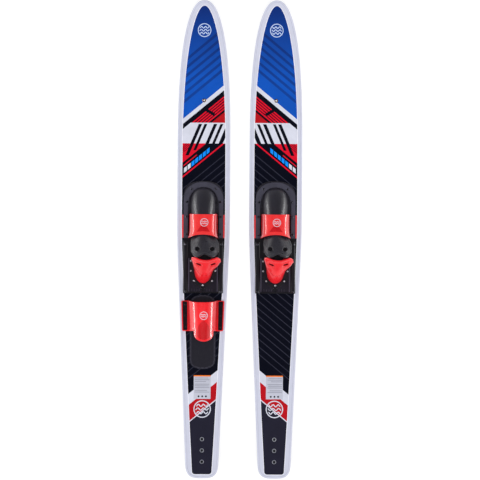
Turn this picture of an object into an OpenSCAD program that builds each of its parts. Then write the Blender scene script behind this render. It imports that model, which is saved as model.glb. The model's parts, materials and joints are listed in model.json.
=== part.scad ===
// A pair of combination water skis, lying on their fins and bellies, deck up.
// The left ski carries a rear toe strap for riding on one ski.
// Every part is drawn in its own ski's frame: X across, Y from the tail (0) to the nose,
// Z up from the flat base. on_left() and on_right() then set that ski down on the floor.

/* [Ski] */
// Length from tail to nose
ski_len = 1698; // [1600:1:1760]
// Half of the greatest width
half_max = 94; // [88:0.5:98]
// Thickness under the foot
ski_thick = 22; // [18:0.5:26]
// Height of the nose above the flat base
nose_rise = 85; // [60:1:110]
// Height of the tail above the flat base
tail_rise = 12; // [8:1:20]
// Distance between the two skis' centre lines
stance = 257; // [250:1:400]

/* [Fin] */
// Depth of the fin below the base
fin_depth = 48; // [35:1:60]
// Thickness of the fin's blade
fin_thick = 6; // [4:0.5:8]

/* [Binding] */
// Half width of the binding plate and the toe frame
bind_half = 71; // [70:0.5:74]
// Height of the toe cap's roof over the binding plate, at the toes
toe_height = 44; // [40:1:50]
// How far the heel unit slides towards the toe
heel_travel = 25; // [15:1:25]
// Height of the heel cup above its slide
heel_height = 88; // [80:1:90]

/* [Hidden] */
$fn = 48;
PARTS = ["ski_body", "deck_sheet", "label", "tie_eyelet", "fin", "fin_inserts", "fin_screws",
         "fin_washers", "binding_inserts", "binding_plate", "foot_bed", "toe_cap", "instep_band",
         "tongue", "toe_frame", "toe_frame_screws", "heel_tracks", "track_screws", "heel_slide",
         "heel_pad", "heel_cup", "heel_clamp", "heel_screws", "lock_lever", "lock_pin"];

// Where the flat of the base begins and ends
flat_from = 380;
flat_to = 1060;
// The printed sheet on the deck
sheet_t = 0.8;
sheet_from = 14;
sheet_to = ski_len - 19;
// Heights of the layers that stack up on the deck
deck_z = ski_thick + sheet_t;
plate_t = 4.5;
plate_z = deck_z + plate_t;
flange_t = 3;
flange_z = plate_z + flange_t;
frame_t = 6.5;
frame_z = flange_z + frame_t;
slide_gap = 0.3;
slide_t = 4.5;
slide_z = plate_z + slide_gap + slide_t;
clamp_t = 4;
rubber = 4;
// Lengthways places on the ski
plate_from = 658;
plate_to = 1058;
band_from = 855;
band_to = 937;
cap_from = 888;
cap_to = 1033;
track_to = 841;
slide_from = 662.5;
slide_to = 783;
heel_mid = 735;
tie_at = 1346;
fin_at = 99;
fin_pitch = 40;
frame_leg_to = 854;
frame_bolts = [[42.4, 1029], [59, 983], [61, 930], [61, 867]];
track_bolts = [[64.6, 832], [62.3, 663]];
heel_bolts = [[0, 686], [32, 701.5], [43.5, 737], [43.5, 772]];
rear_bolts = [[62, 617], [60.5, 577], [59, 537]];
ski_bolts = concat([frame_bolts[0]], track_bolts);

function clamp01(t) = max(0, min(1, t));
function ease(t) = let (c = clamp01(t)) c * c * (3 - 2 * c);
function mix(a, b, t) = a + (b - a) * t;
// Signed power, for superellipses
function spow(c, n) = sign(c) * pow(abs(c), 2 / n);

// ---- The ski's own lines ----

// Height of the base over its flat, and of the deck
function base_z(y) = y > flat_to ? nose_rise * pow((y - flat_to) / (ski_len - flat_to), 2.2)
                   : y < flat_from ? tail_rise * pow((flat_from - y) / flat_from, 2) : 0;
function thick(y) = ski_thick - (ski_thick - 11) * ease((y - flat_to) / 560)
                  - (ski_thick - 13) * ease((flat_from - y) / flat_from);
function top_z(y) = base_z(y) + thick(y);
function base_slope(y) = atan(base_z(y + 1) - base_z(y));

// Half width: a straight taper to the tail, a superellipse nose, and round tail corners
tail_taper = 0.0435;
waist_y = 855;
nose_from = 1150;
corner_y = 60;
function half(y) =
    let (d = waist_y - y,
         body = half_max - tail_taper * (sqrt(d * d + 46 * 46) + d) / 2,
         nose = pow(1 - pow(clamp01((y - nose_from) / (ski_len - nose_from)), 2.8), 1 / 2.3),
         tail = pow(1 - pow(clamp01((corner_y - y) / corner_y), 3.3), 1 / 3.3))
    body * nose * tail;
// The sheet's edge lies inside the rim
function rim_w(y) = 17 + 4 * pow(abs(y - 950) / 750, 2);
function sheet_half(y) =
    let (t = clamp01((y - nose_from) / (sheet_to - nose_from)),
         b = clamp01(1 - (y - sheet_from) / 10))
    (half_max - rim_w(y) - tail_taper * (sqrt(pow(waist_y - y, 2) + 46 * 46) + waist_y - y) / 2)
    * pow(1 - pow(t, 2.5), 1 / 1.9) - 10 * (1 - sqrt(1 - b * b));

tail_stations = [for (i = [0:7]) corner_y * (1 - cos(90 * (0.11 + 0.89 * i / 7)))];
mid_stations = [for (y = [100:40:1620]) y];
nose_stations = [for (i = [1:9]) 1620 + (ski_len - 1620) * sin(87 * i / 9)];
stations = concat(tail_stations, mid_stations, nose_stations);

// The pair lies on the floor on its fins and on the belly in front of the feet
fin_edge = concat([for (a = [0:15:90]) [56 - 8 * cos(a), 8 - 8 * sin(a)]],
                  [for (a = [0:15:60]) [88 + 14 * sin(a), 14 - 14 * cos(a)]]);
fin_lowest = [for (p = fin_edge) [p[0], base_z(fin_at) - fin_depth + p[1]]];
pitch = max([for (f = fin_lowest)
    min([for (y = [1000:10:1400]) atan2(base_z(y) - f[1], y - f[0])])]);
lift = max([for (f = fin_lowest) f[0] * sin(pitch) - f[1] * cos(pitch)]);
row_mid = 851.5;

module set_down(side)
    translate([side * stance / 2, -row_mid, lift]) rotate([-pitch, 0, 0]) children();
module on_left() set_down(-1) children();
module on_right() set_down(1) children();

// ---- Shapes that repeat ----

// Both sides of the ski
module both() {
    children();
    mirror([1, 0, 0]) children();
}

// Vertical holes or pins of one radius at points on both sides, drawn once on the centre line
module at_bolts(points)
    for (p = points) for (s = p[0] == 0 ? [1] : [-1, 1]) translate([s * p[0], p[1], 0]) children();
module holes(points, r, z0, z1)
    at_bolts(points) translate([0, 0, z0]) cylinder(r = r, h = z1 - z0);

// A flat-headed screw: shank from z0 up, a raised head of radius head_r and height head_h
module screw(z0, z1, shank_r, head_r, head_h) {
    translate([0, 0, z0]) cylinder(r = shank_r, h = z1 - z0);
    difference() {
        union() {
            translate([0, 0, z1]) cylinder(r = head_r, h = head_h * 0.5);
            translate([0, 0, z1 + head_h * 0.5]) cylinder(r1 = head_r, r2 = head_r * 0.7, h = head_h * 0.5);
        }
        translate([0, 0, z1 + head_h * 0.4]) cylinder(r = head_r * 0.42, h = head_h, $fn = 6);
    }
}

// A threaded insert, drawn as a plain sleeve round its screw
module insert(z0, z1, bore_r, outer_r)
    translate([0, 0, z0]) difference() {
        cylinder(r = outer_r, h = z1 - z0);
        translate([0, 0, -1]) cylinder(r = bore_r, h = z1 - z0 + 2);
    }

// Points of a superellipse arch over a straight base
function arch(a, b, n, steps) =
    [for (i = [0:steps]) let (t = 180 * i / steps) [a * spow(cos(t), n), b * spow(sin(t), n)]];
// A plate outline: straight sides from y0 to y1, then an arch of height b over y1
function arched(a, y0, y1, b, n) =
    concat([[-a, y0], [a, y0]], [for (p = arch(a, b, n, 28)) [p[0], y1 + p[1]]]);

// A closed outline with straight sides between two arched ends
function capsule(a, y0, y1, b, n) =
    concat([for (p = arch(a, b, n, 24)) [p[0], y1 + p[1]]],
           [for (p = arch(a, b, n, 24)) [-p[0], y0 - p[1]]]);

// A solid through rings of points, anticlockwise seen from low Y, its end caps fanned from one point
module loft(rings, hub) {
    n = len(rings[0]);
    m = len(rings);
    polyhedron(
        points = [for (r = rings) each r],
        faces = concat(
            [for (k = [0:m - 2]) for (i = [0:n - 1]) let (a = k * n + i, b = k * n + (i + 1) % n)
                each [[a, a + n, b + n], [a, b + n, b]]],
            [for (i = [1:n - 2]) [hub, (hub + i) % n, (hub + i + 1) % n]],
            [for (i = [1:n - 2]) [for (j = [hub, hub + i + 1, hub + i]) (m - 1) * n + j % n]]));
}

// A sheet with thickness between two grids of points, out[k][i] outside in[k][i]
module thick_sheet(out, in) {
    m = len(out);
    n = len(out[0]);
    o = m * n;
    function a(k, i) = k * n + i;
    function b(k, i) = o + k * n + i;
    polyhedron(
        points = concat([for (r = out) each r], [for (r = in) each r]),
        faces = concat(
            [for (k = [0:m - 2]) for (i = [0:n - 2]) [a(k, i), a(k, i + 1), a(k + 1, i + 1), a(k + 1, i)]],
            [for (k = [0:m - 2]) for (i = [0:n - 2]) [b(k, i), b(k + 1, i), b(k + 1, i + 1), b(k, i + 1)]],
            [for (i = [0:n - 2]) [a(0, i), b(0, i), b(0, i + 1), a(0, i + 1)]],
            [for (i = [0:n - 2]) [a(m - 1, i), a(m - 1, i + 1), b(m - 1, i + 1), b(m - 1, i)]],
            [for (k = [0:m - 2]) [a(k, 0), a(k + 1, 0), b(k + 1, 0), b(k, 0)]],
            [for (k = [0:m - 2]) [a(k, n - 1), b(k, n - 1), b(k + 1, n - 1), a(k + 1, n - 1)]]));
}

// A slab that follows the deck, from z0 to z1 above it, over the whole length
module deck_slab(z0, z1)
    rotate([90, 0, 90]) linear_extrude(height = 400, center = true)
        polygon(concat([for (y = stations) [y, top_z(y) + z0]],
                       [for (i = [len(stations) - 1:-1:0]) [stations[i], top_z(stations[i]) + z1]]));

// ---- The ski ----

// Cross-section of the blade: tunnel in the base, soft edges, a bevelled shoulder on the deck
function section(y) =
    let (w = half(y), z0 = base_z(y), t = thick(y),
         tunnel = 3.2 * ease((y - 190) / 90) * ease((1300 - y) / 260),
         tw = min(44, w * 0.5), e = min(7, w * 0.3), shoulder = min(4, w * 0.3),
         bottom = [[w - e, 0], [w - e * 0.25, t * 0.2], [w, t * 0.45], [w - e * 0.08, t * 0.82],
                   [w - shoulder, t]])
    concat([[0, y, z0 + tunnel], [tw * 0.6, y, z0 + tunnel * 0.8], [tw, y, z0]],
           [for (p = bottom) [p[0], y, z0 + p[1]]],
           [for (i = [4:-1:0]) [-bottom[i][0], y, z0 + bottom[i][1]]],
           [[-tw, y, z0], [-tw * 0.6, y, z0 + tunnel * 0.8]]);

module blade() difference() {
    loft([for (y = stations) section(y)], 7);
    holes(ski_bolts, 5, ski_thick - 15, ski_thick + 1);
    fin_line() translate([0, 0, -20]) cylinder(r = 3, h = 60);
    fin_line() translate([0, 0, top_z(fin_at) - base_z(fin_at) - 3]) cylinder(r = 7.5, h = 20);
    at_tie() translate([0, 0, -40]) cylinder(r = 4.5, h = 80);
}

module left_blade() difference() {
    blade();
    holes(rear_bolts, 5, ski_thick - 15, ski_thick + 1);
}

// The three fin bolts stand square to the deck at the tail
module fin_line() for (i = [-1, 0, 1]) translate([0, fin_at + i * fin_pitch, base_z(fin_at)]) children();
// The tie hole stands square to the deck ahead of the binding
module at_tie() translate([0, tie_at, top_z(tie_at)]) rotate([base_slope(tie_at), 0, 0]) children();

module deck_sheet() color("royalblue") difference() {
    intersection() {
        deck_slab(0, sheet_t);
        translate([0, 0, -10]) linear_extrude(height = 200) sheet_outline();
    }
    holes(ski_bolts, 5, 0, 40);
    fin_line() cylinder(r = 7.5, h = 60);
    at_tie() translate([0, 0, -20]) cylinder(r = 7, h = 40);
}
module left_deck_sheet() color("royalblue") difference() {
    deck_sheet();
    holes(rear_bolts, 5, 0, 40);
}
module sheet_outline() {
    ys = concat([for (i = [0:5]) sheet_from + 10 * (1 - cos(18 * i))], [for (y = [40:40:1600]) y],
                [for (i = [1:8]) 1600 + (sheet_to - 1600) * sin(89 * i / 8)]);
    polygon(concat([for (y = ys) [sheet_half(y), y]],
                   [for (i = [len(ys) - 1:-1:0]) [-sheet_half(ys[i]), ys[i]]]));
}

// A plain care label, a thin film on the sheet
module label() color("gainsboro") intersection() {
    deck_slab(sheet_t, sheet_t + 0.3);
    translate([-30.5, 282, 0]) cube([61, 87, 100]);
}

// Brass eyelet right through the ski, for a trainer bar or a tie
eyelet_len = thick(tie_at) + sheet_t + 2;
module tie_eyelet() color("peru") at_tie() rotate_extrude()
    polygon([[3, sheet_t + 1], [3, sheet_t + 1 - eyelet_len], [4.4, sheet_t + 1 - eyelet_len],
             [4.4, sheet_t + 0.1], [6.8, sheet_t + 0.1], [6.2, sheet_t + 1]]);

// ---- The fin ----

fin_foot = 4;
module fin() color([0.12, 0.12, 0.13]) difference() {
    intersection() {
        union() {
            rotate([90, 0, 90]) linear_extrude(height = fin_thick, center = true)
                polygon(concat([[38, -6], [24, base_z(24) - 1], [170, base_z(170) - 1], [164, -4]],
                               [for (i = [len(fin_lowest) - 1:-1:0]) fin_lowest[i]]));
            rotate([90, 0, 90]) linear_extrude(height = 34, center = true)
                polygon(concat([for (y = fin_ys) [y, base_z(y) - 0.05]],
                               [for (i = [len(fin_ys) - 1:-1:0])
                                   [fin_ys[i], base_z(fin_ys[i]) - fin_foot - 0.05]]));
            fin_line() translate([0, 0, -16]) cylinder(r = 6.5, h = 13);
        }
        translate([0, 0, -100]) linear_extrude(height = 200)
            polygon(capsule(17, 44, fin_at + 46, 26, 2));
    }
    fin_line() translate([0, 0, -14]) cylinder(r = 4.5, h = 40);
}
fin_ys = concat([18], [for (y = tail_stations) if (y > 18.5) y], [100, 140, 172]);
module fin_inserts() color("goldenrod") fin_line() insert(-13.5, -2.5, 2.5, 4.5);
fin_head = top_z(fin_at) - base_z(fin_at) - 1.6;
module fin_screws() color("dimgray") fin_line() screw(-12, fin_head, 2.5, 4.6, 2.4);
module fin_washers() color("silver") fin_line() translate([0, 0, fin_head - 1.4]) rotate_extrude()
    polygon([[2.6, 0], [7.4, 0], [7.4, 3.4], [6.2, 3.9], [4.9, 2.4], [4.9, 1.4], [2.6, 1.4]]);

// ---- The binding's hard parts ----

module binding_inserts() color("goldenrod") at_bolts(ski_bolts) insert(ski_thick - 15, ski_thick, 2.2, 5);

slot_half = 3.6;
module binding_plate() color([0.13, 0.13, 0.14]) difference() {
    translate([0, 0, deck_z]) linear_extrude(height = plate_t) difference() {
        polygon(arched(bind_half, plate_from, plate_to - 58, 58, 2.5));
        translate([-slot_half, 664]) square([2 * slot_half, heel_travel + 12]);
        for (i = [0:6]) translate([0, 669 + i * heel_travel / 6]) square([13, 3], center = true);
    }
    holes(concat(frame_bolts, track_bolts), 2.3, deck_z - 1, plate_z + 1);
}

module foot_bed() color([0.16, 0.16, 0.17]) translate([0, 0, plate_z]) linear_extrude(height = 5)
    polygon(arched(39, 843, 960, 55, 2.4));

module toe_frame() color([0.2, 0.2, 0.22]) difference() {
    union() {
        translate([0, 0, flange_z]) linear_extrude(height = frame_t - 2) frame_outline(0);
        translate([0, 0, flange_z + 4]) linear_extrude(height = frame_t - 4) frame_outline(1.6);
    }
    holes(frame_bolts, 2.3, flange_z - 1, frame_z + 1);
    holes(frame_bolts, 4.2, frame_z - 2.2, frame_z + 1);
}
leg_in = 54.9;
module frame_outline(inset) difference() {
    polygon(arched(bind_half - inset, frame_leg_to + inset, 992, 63 - inset, 2.15));
    translate([0, -50]) polygon(arched(leg_in + inset, frame_leg_to, 1012, 73 + inset, 2.25));
    translate([-leg_in - inset, frame_leg_to - 10]) square([2 * (leg_in + inset), 60]);
}

// The two front screws go on into the ski, and the others end in the binding plate
module toe_frame_screws() color("dimgray") {
    at_bolts([frame_bolts[0]]) screw(ski_thick - 12, frame_z - 2.1, 2.2, 4.1, 2.6);
    at_bolts([for (i = [1:3]) frame_bolts[i]]) screw(deck_z + 0.4, frame_z - 2.1, 2.2, 4.1, 2.6);
}

// Two rails, grooved on the inside for the slide's edges
track_in = 54.5;
track_h = 10.7;
module heel_tracks() color([0.15, 0.15, 0.16]) both() difference() {
    rotate([90, 0, 180]) translate([0, 0, plate_from]) linear_extrude(height = track_to - plate_from)
        polygon([[-bind_half, plate_z], [-track_in - 1.5, plate_z], [-track_in - 1.5, plate_z + 0.9],
                 [-track_in - 5, plate_z + 0.9], [-track_in - 5, plate_z + 4.3],
                 [-track_in - 0.5, plate_z + 4.3], [-track_in - 0.5, plate_z + 7.5],
                 [-track_in - 3, plate_z + track_h], [-bind_half + 3, plate_z + track_h],
                 [-bind_half, plate_z + 7]]);
    holes(track_bolts, 2.3, plate_z - 1, plate_z + 20);
    holes(track_bolts, 4.4, plate_z + track_h - 2, plate_z + 20);
}
module track_screws() color("dimgray")
    at_bolts(track_bolts) screw(ski_thick - 12, plate_z + track_h - 1.9, 2.2, 4.2, 2.2);

// ---- The heel unit, which slides ----

rib_in = 48;
lever_half = 6;
pin_at = [675.5, slide_z - 2.2];
module heel_slide() color([0.17, 0.16, 0.18]) difference() {
    union() {
        translate([-53.7, slide_from, plate_z + slide_gap]) cube([107.4, slide_to - slide_from, slide_t]);
        translate([-58.8, slide_from + 1, plate_z + 1.3])
            cube([117.6, slide_to - slide_from - 2, 2.6]);
        both() translate([rib_in, slide_from, slide_z - 1]) cube([5.7, slide_to - slide_from, 4.6]);
        translate([-rib_in - 1, slide_from, slide_z - 1]) cube([2 * rib_in + 2, 2, 3]);
        for (x = [-40:9:40]) if (abs(x) > 9)
            translate([x - 1, slide_from + 1, slide_z - 1]) cube([2, 11, 2.2]);
    }
    translate([-lever_half - 0.4, slide_from + 2.2, 0]) cube([2 * lever_half + 0.8, 13.6, 100]);
    translate([0, pin_at[0], pin_at[1]]) rotate([0, 90, 0]) cylinder(r = 1.3, h = 20.4, center = true);
    holes(heel_bolts, 2.1, plate_z - 1, slide_z + 1);
}
module lock_lever() color([0.1, 0.1, 0.1]) difference() {
    union() {
        translate([0, pin_at[0], pin_at[1]]) rotate([0, 90, 0])
            cylinder(r = 2.2, h = 2 * lever_half, center = true);
        translate([-lever_half, slide_from + 3.6, pin_at[1] - 0.8]) cube([2 * lever_half, 9.4, 2.6]);
        translate([-2.6, slide_from + 5, deck_z + 1]) cube([5.2, 3, pin_at[1] - deck_z]);
    }
    translate([0, pin_at[0], pin_at[1]]) rotate([0, 90, 0]) cylinder(r = 1.34, h = 40, center = true);
}
module lock_pin() color("silver") translate([0, pin_at[0], pin_at[1]]) rotate([0, 90, 0])
    cylinder(r = 1.27, h = 20, center = true);

// A U outline round the heel: an elliptical back and straight sides forward
function heel_u(a, b, y1) = concat([[a, y1]], [for (p = arch(a, b, 2, 28)) [p[0], heel_mid - p[1]]], [[-a, y1]]);
heel_a = 31;
heel_b = 43;
module heel_ring_outline(grow_in, y1) difference() {
    polygon(heel_u(47.2, 56, y1));
    polygon(heel_u(heel_a + grow_in, heel_b + grow_in, y1 + 1));
}
module heel_clamp() color([0.12, 0.12, 0.12]) difference() {
    translate([0, 0, slide_z + flange_t]) linear_extrude(height = clamp_t) heel_ring_outline(2.4, 782);
    holes(heel_bolts, 2.1, 0, 100);
}
module heel_screws() color("gainsboro")
    at_bolts(heel_bolts) screw(plate_z + slide_gap + 0.4, slide_z + flange_t + clamp_t + 0.05, 2, 3.1, 2);
module heel_pad() color([0.18, 0.18, 0.19]) translate([0, 0, slide_z + 0.05]) linear_extrude(height = 4)
    polygon(heel_u(heel_a - 5.5, heel_b - 7, 781));

// ---- The rubber ----

// The toe cap's outer arch, and the red band over it
function roof(y) = toe_height + 0.32 * (1000 - y);
function roll(y) = pow(1 - pow(clamp01((y - 960) / (cap_to - 960)), 2.8), 1 / 2.8);
function cap_half(y) = mix(43.6, 46, ease((y - 925) / 40));
function cap_ring(y, less) =
    let (r = roll(y + less * 0.6), a = cap_half(y) * r - less, h = roof(y) * pow(r, 0.8) - less)
    [for (p = arch(max(a, 1), max(h, 1.2), 2.5, 18)) [p[0], y, plate_z + p[1]]];
cap_ys = concat([for (y = [cap_from:14:960]) y], [for (i = [1:8]) 960 + (cap_to - 961) * sin(90 * i / 8)]);
module toe_cap() color([0.25, 0.25, 0.27]) difference() {
    union() {
        thick_sheet([for (y = cap_ys) cap_ring(y, 0)], [for (y = cap_ys) cap_ring(y, rubber)]);
        translate([0, 0, plate_z]) linear_extrude(height = flange_t) difference() {
            polygon(arched(bind_half, band_to + 5, plate_to - 58, 58, 2.5));
            translate([0, -1]) polygon(arched(43, band_to, 960, 70, 2.8));
        }
    }
    holes(frame_bolts, 2.4, plate_z - 1, flange_z + 1);
}

// Front and back edges of the band bow towards each other over the instep, and its sides flare at the back
function band_half(k) = 47.8 + 1.4 * pow(k, 3) + 5.2 * pow(1 - k, 4);
function band_ring(k, less) =
    [for (i = [0:20]) let (t = 180 * i / 20, c = sin(t),
        y = mix(band_from + 14 * c * c, band_to - 2.5 * c * c, k), h = roof(y) + 4.2 - less)
        [(band_half(k) - less) * spow(cos(t), 4), y, plate_z + h * spow(c, 4)]];
module instep_band() color("tomato") difference() {
    union() {
        thick_sheet([for (k = [0:6]) band_ring(k / 6, 0)], [for (k = [0:6]) band_ring(k / 6, 3.4)]);
        both() translate([46, band_from, plate_z]) cube([29.5, band_to - band_from, flange_t]);
    }
    holes(frame_bolts, 2.4, plate_z - 1, flange_z + 1);
}

// The tongue leans a little to the right, and ends in two lobes with a finger hole in each
tongue_from = 884;
tongue_to = 783;
tongue_lean = 7;
tongue_s = [for (i = [-10:10]) mix(i / 10, sin(9 * i), 0.6)];
hole_at = 25.8;
function tongue_point(k, s, less) =
    let (end = tongue_to + 17 * exp(-pow(s / 0.2, 2)) + 20 * pow(abs(s), 6),
         y = mix(tongue_from, end, k), f = (tongue_from - y) / (tongue_from - tongue_to),
         w = mix(39, 49.5, ease(1.9 * (k - 0.2))) - 2 * pow(k, 4) - 0.5 * less,
         crest = 77 + 46 * f + 8 * f * f, drop = mix(33, 20.5, f))
    [s * w + tongue_lean * ease(1.5 * (k - 0.12)), y, plate_z + crest - drop * pow(abs(s), 2.2) - less];
module tongue() color([0.25, 0.25, 0.27]) difference() {
    thick_sheet([for (k = [0:9]) [for (s = tongue_s) tongue_point(k / 9, s, 0)]],
                [for (k = [0:9]) [for (s = tongue_s) tongue_point(k / 9, s, rubber)]]);
    for (s = [-1, 1]) translate([tongue_lean + s * hole_at, 817, 60]) cylinder(r = 8, h = 120);
}

// The heel cup: a U at the slide, leaning forward to an open collar with two finger slots
function heel_point(k, s, less) =
    let (t = 90 * max(-1, min(1, s / 0.7)), e = max(0, (abs(s) - 0.7) / 0.3),
         in = 1 - less / heel_a,
         low = [heel_a * in * sin(t), heel_mid - (heel_b - less) * cos(t) + e * 47],
         high = [11 + 49.5 * s * (1 - 0.03 * less / rubber),
                 770 + 17 * s * s - (s < 0 ? 7 : 12) * pow(clamp01((abs(s) - 0.72) / 0.28), 2) + less],
         f = pow(k, 1.25), bulge = 3 * sin(180 * k) * (1 - e),
         ear = sin(180 * pow(clamp01((k - 0.35) / 0.65), 1.1)) * ease((abs(s) - 0.35) / 0.5),
         push = s > 0 ? [12 * ear, -11 * ear] : [-5 * ear, -6 * ear])
    [mix(low[0], high[0], f) + bulge * sin(t) + push[0], mix(low[1], high[1], f) - bulge * cos(t) + push[1],
     slide_z + heel_height * k * (1 - 0.06 * s * s * k - 0.1 * pow(abs(s), 7) * k)];
heel_s = [for (i = [14:-1:-14]) i / 14];
module heel_cup() color("tomato") difference() {
    union() {
        thick_sheet([for (k = [0:9]) [for (s = heel_s) heel_point(k / 9, s, 0)]],
                    [for (k = [0:9]) [for (s = heel_s) heel_point(k / 9, s, rubber)]]);
        translate([0, 0, slide_z]) linear_extrude(height = flange_t) heel_ring_outline(-2, 782);
    }
    holes(heel_bolts, 2.2, slide_z - 1, slide_z + flange_t + 1);
    for (x = [11 - 26, 11 + 26]) translate([x, 755, slide_z + heel_height - 17]) slot_y(18, 8, 50);
}
module slot_y(w, h, long) rotate([90, 0, 0]) {
    for (s = [-1, 1]) translate([s * (w - h) / 2, 0, 0]) cylinder(d = h, h = long, center = true);
    cube([w - h, h, long], center = true);
}

// ---- The rear toe strap, on the left ski only ----

rear_from = 525;
rear_to = 628;
rear_pad_t = 4;
module rear_pad() color([0.15, 0.15, 0.16]) translate([0, 0, deck_z + 0.02]) linear_extrude(height = rear_pad_t)
    polygon(capsule(45.5, 423, 617, 35, 2.3));
// The clamps follow the ski's taper
function rear_edge(y) = 69 + (y - rear_from) * 0.033;
// The back edge runs out into a rounded tab to pull on, set a little to the right
tab_x = 4;
tab_half = 34;
function rear_back(x) = let (u = abs(x - tab_x) / tab_half)
    u >= 1 ? rear_from : rear_from - 12 - 25.5 * sqrt(1 - u * u);
function rear_n(k) = mix(1.8, 2.2, k);
function tab_angle(x) = acos(sign(x) * pow(abs(x) / 50, rear_n(0) / 2));
rear_angles = concat([for (i = [0:5]) tab_angle(tab_x + tab_half + 0.4) * i / 5],
                     [for (i = [0:18]) tab_angle(tab_x + (tab_half - 0.2) * cos(10 * i))],
                     [for (i = [0:5]) let (a = tab_angle(tab_x - tab_half - 0.4)) mix(a, 180, i / 5)]);
function rear_ring(k, less) =
    [for (t = rear_angles) let (c = sin(t), n = rear_n(k), x = mix(50, 53, k) * spow(cos(t), n),
        y = mix(rear_back(50 * spow(cos(t), rear_n(0))), rear_to + 3 - 9 * c, k), h = 62 - 16 * (1 - k) - less)
        [x * (1 - less / 50), y, deck_z + rear_pad_t + h * spow(c, n)]];
module rear_strap() color("tomato") difference() {
    union() {
        difference() {
            thick_sheet([for (k = [0:8]) rear_ring(k / 8, 0)], [for (k = [0:8]) rear_ring(k / 8, rubber)]);
            translate([-100, 400, 0]) cube([200, 300, deck_z + rear_pad_t + 0.1]);
        }
        both() translate([0, 0, deck_z + 0.02]) linear_extrude(height = rear_pad_t + flange_t)
            polygon([[46.2, rear_from - 2], [rear_edge(rear_from) + 4, rear_from - 2],
                     [rear_edge(rear_to) + 4, rear_to + 3], [46.2, rear_to + 3]]);
    }
    holes(rear_bolts, 2.4, deck_z - 1, deck_z + 40);
}
module rear_clamps() color([0.12, 0.12, 0.13]) difference() {
    both() translate([0, 0, deck_z + rear_pad_t + flange_t + 0.04]) linear_extrude(height = 6)
        polygon([[54.5, rear_from + 1], [rear_edge(rear_from), rear_from + 1],
                 [rear_edge(rear_to), rear_to], [56, rear_to]]);
    holes(rear_bolts, 2.3, deck_z, 60);
    holes(rear_bolts, 4.3, deck_z + rear_pad_t + flange_t + 4, 60);
}
module rear_screws() color("dimgray")
    at_bolts(rear_bolts) screw(ski_thick - 12, deck_z + rear_pad_t + flange_t + 4.1, 2.2, 4.1, 2.4);
module rear_inserts() color("goldenrod") at_bolts(rear_bolts) insert(ski_thick - 15, ski_thick, 2.2, 5);

on_left() color("whitesmoke") left_blade();  // left_ski_body
on_left() left_deck_sheet();
on_left() label();  // left_label
on_left() tie_eyelet();  // left_tie_eyelet
on_left() fin();  // left_fin
on_left() fin_inserts();  // left_fin_inserts
on_left() fin_screws();  // left_fin_screws
on_left() fin_washers();  // left_fin_washers
on_left() binding_inserts();  // left_binding_inserts
on_left() binding_plate();  // left_binding_plate
on_left() foot_bed();  // left_foot_bed
on_left() toe_cap();  // left_toe_cap
on_left() instep_band();  // left_instep_band
on_left() tongue();  // left_tongue
on_left() toe_frame();  // left_toe_frame
on_left() toe_frame_screws();  // left_toe_frame_screws
on_left() heel_tracks();  // left_heel_tracks
on_left() track_screws();  // left_track_screws
on_left() heel_slide();  // left_heel_slide
on_left() heel_pad();  // left_heel_pad
on_left() heel_cup();  // left_heel_cup
on_left() heel_clamp();  // left_heel_clamp
on_left() heel_screws();  // left_heel_screws
on_left() lock_lever();  // left_lock_lever
on_left() lock_pin();  // left_lock_pin
on_left() rear_pad();  // left_rear_pad
on_left() rear_strap();  // left_rear_strap
on_left() rear_clamps();  // left_rear_clamps
on_left() rear_screws();  // left_rear_screws
on_left() rear_inserts();  // left_rear_inserts
on_right() color("whitesmoke") blade();  // right_ski_body
on_right() deck_sheet();  // right_deck_sheet
on_right() label();  // right_label
on_right() tie_eyelet();  // right_tie_eyelet
on_right() fin();  // right_fin
on_right() fin_inserts();  // right_fin_inserts
on_right() fin_screws();  // right_fin_screws
on_right() fin_washers();  // right_fin_washers
on_right() binding_inserts();  // right_binding_inserts
on_right() binding_plate();  // right_binding_plate
on_right() foot_bed();  // right_foot_bed
on_right() toe_cap();  // right_toe_cap
on_right() instep_band();  // right_instep_band
on_right() tongue();  // right_tongue
on_right() toe_frame();  // right_toe_frame
on_right() toe_frame_screws();  // right_toe_frame_screws
on_right() heel_tracks();  // right_heel_tracks
on_right() track_screws();  // right_track_screws
on_right() heel_slide();  // right_heel_slide
on_right() heel_pad();  // right_heel_pad
on_right() heel_cup();  // right_heel_cup
on_right() heel_clamp();  // right_heel_clamp
on_right() heel_screws();  // right_heel_screws
on_right() lock_lever();  // right_lock_lever
on_right() lock_pin();  // right_lock_pin
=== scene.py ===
"""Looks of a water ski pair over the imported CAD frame: prints, rubber bindings, foam pads and hardware."""

import json
import math

import bmesh
import bpy
from mathutils import Matrix, Vector


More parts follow.
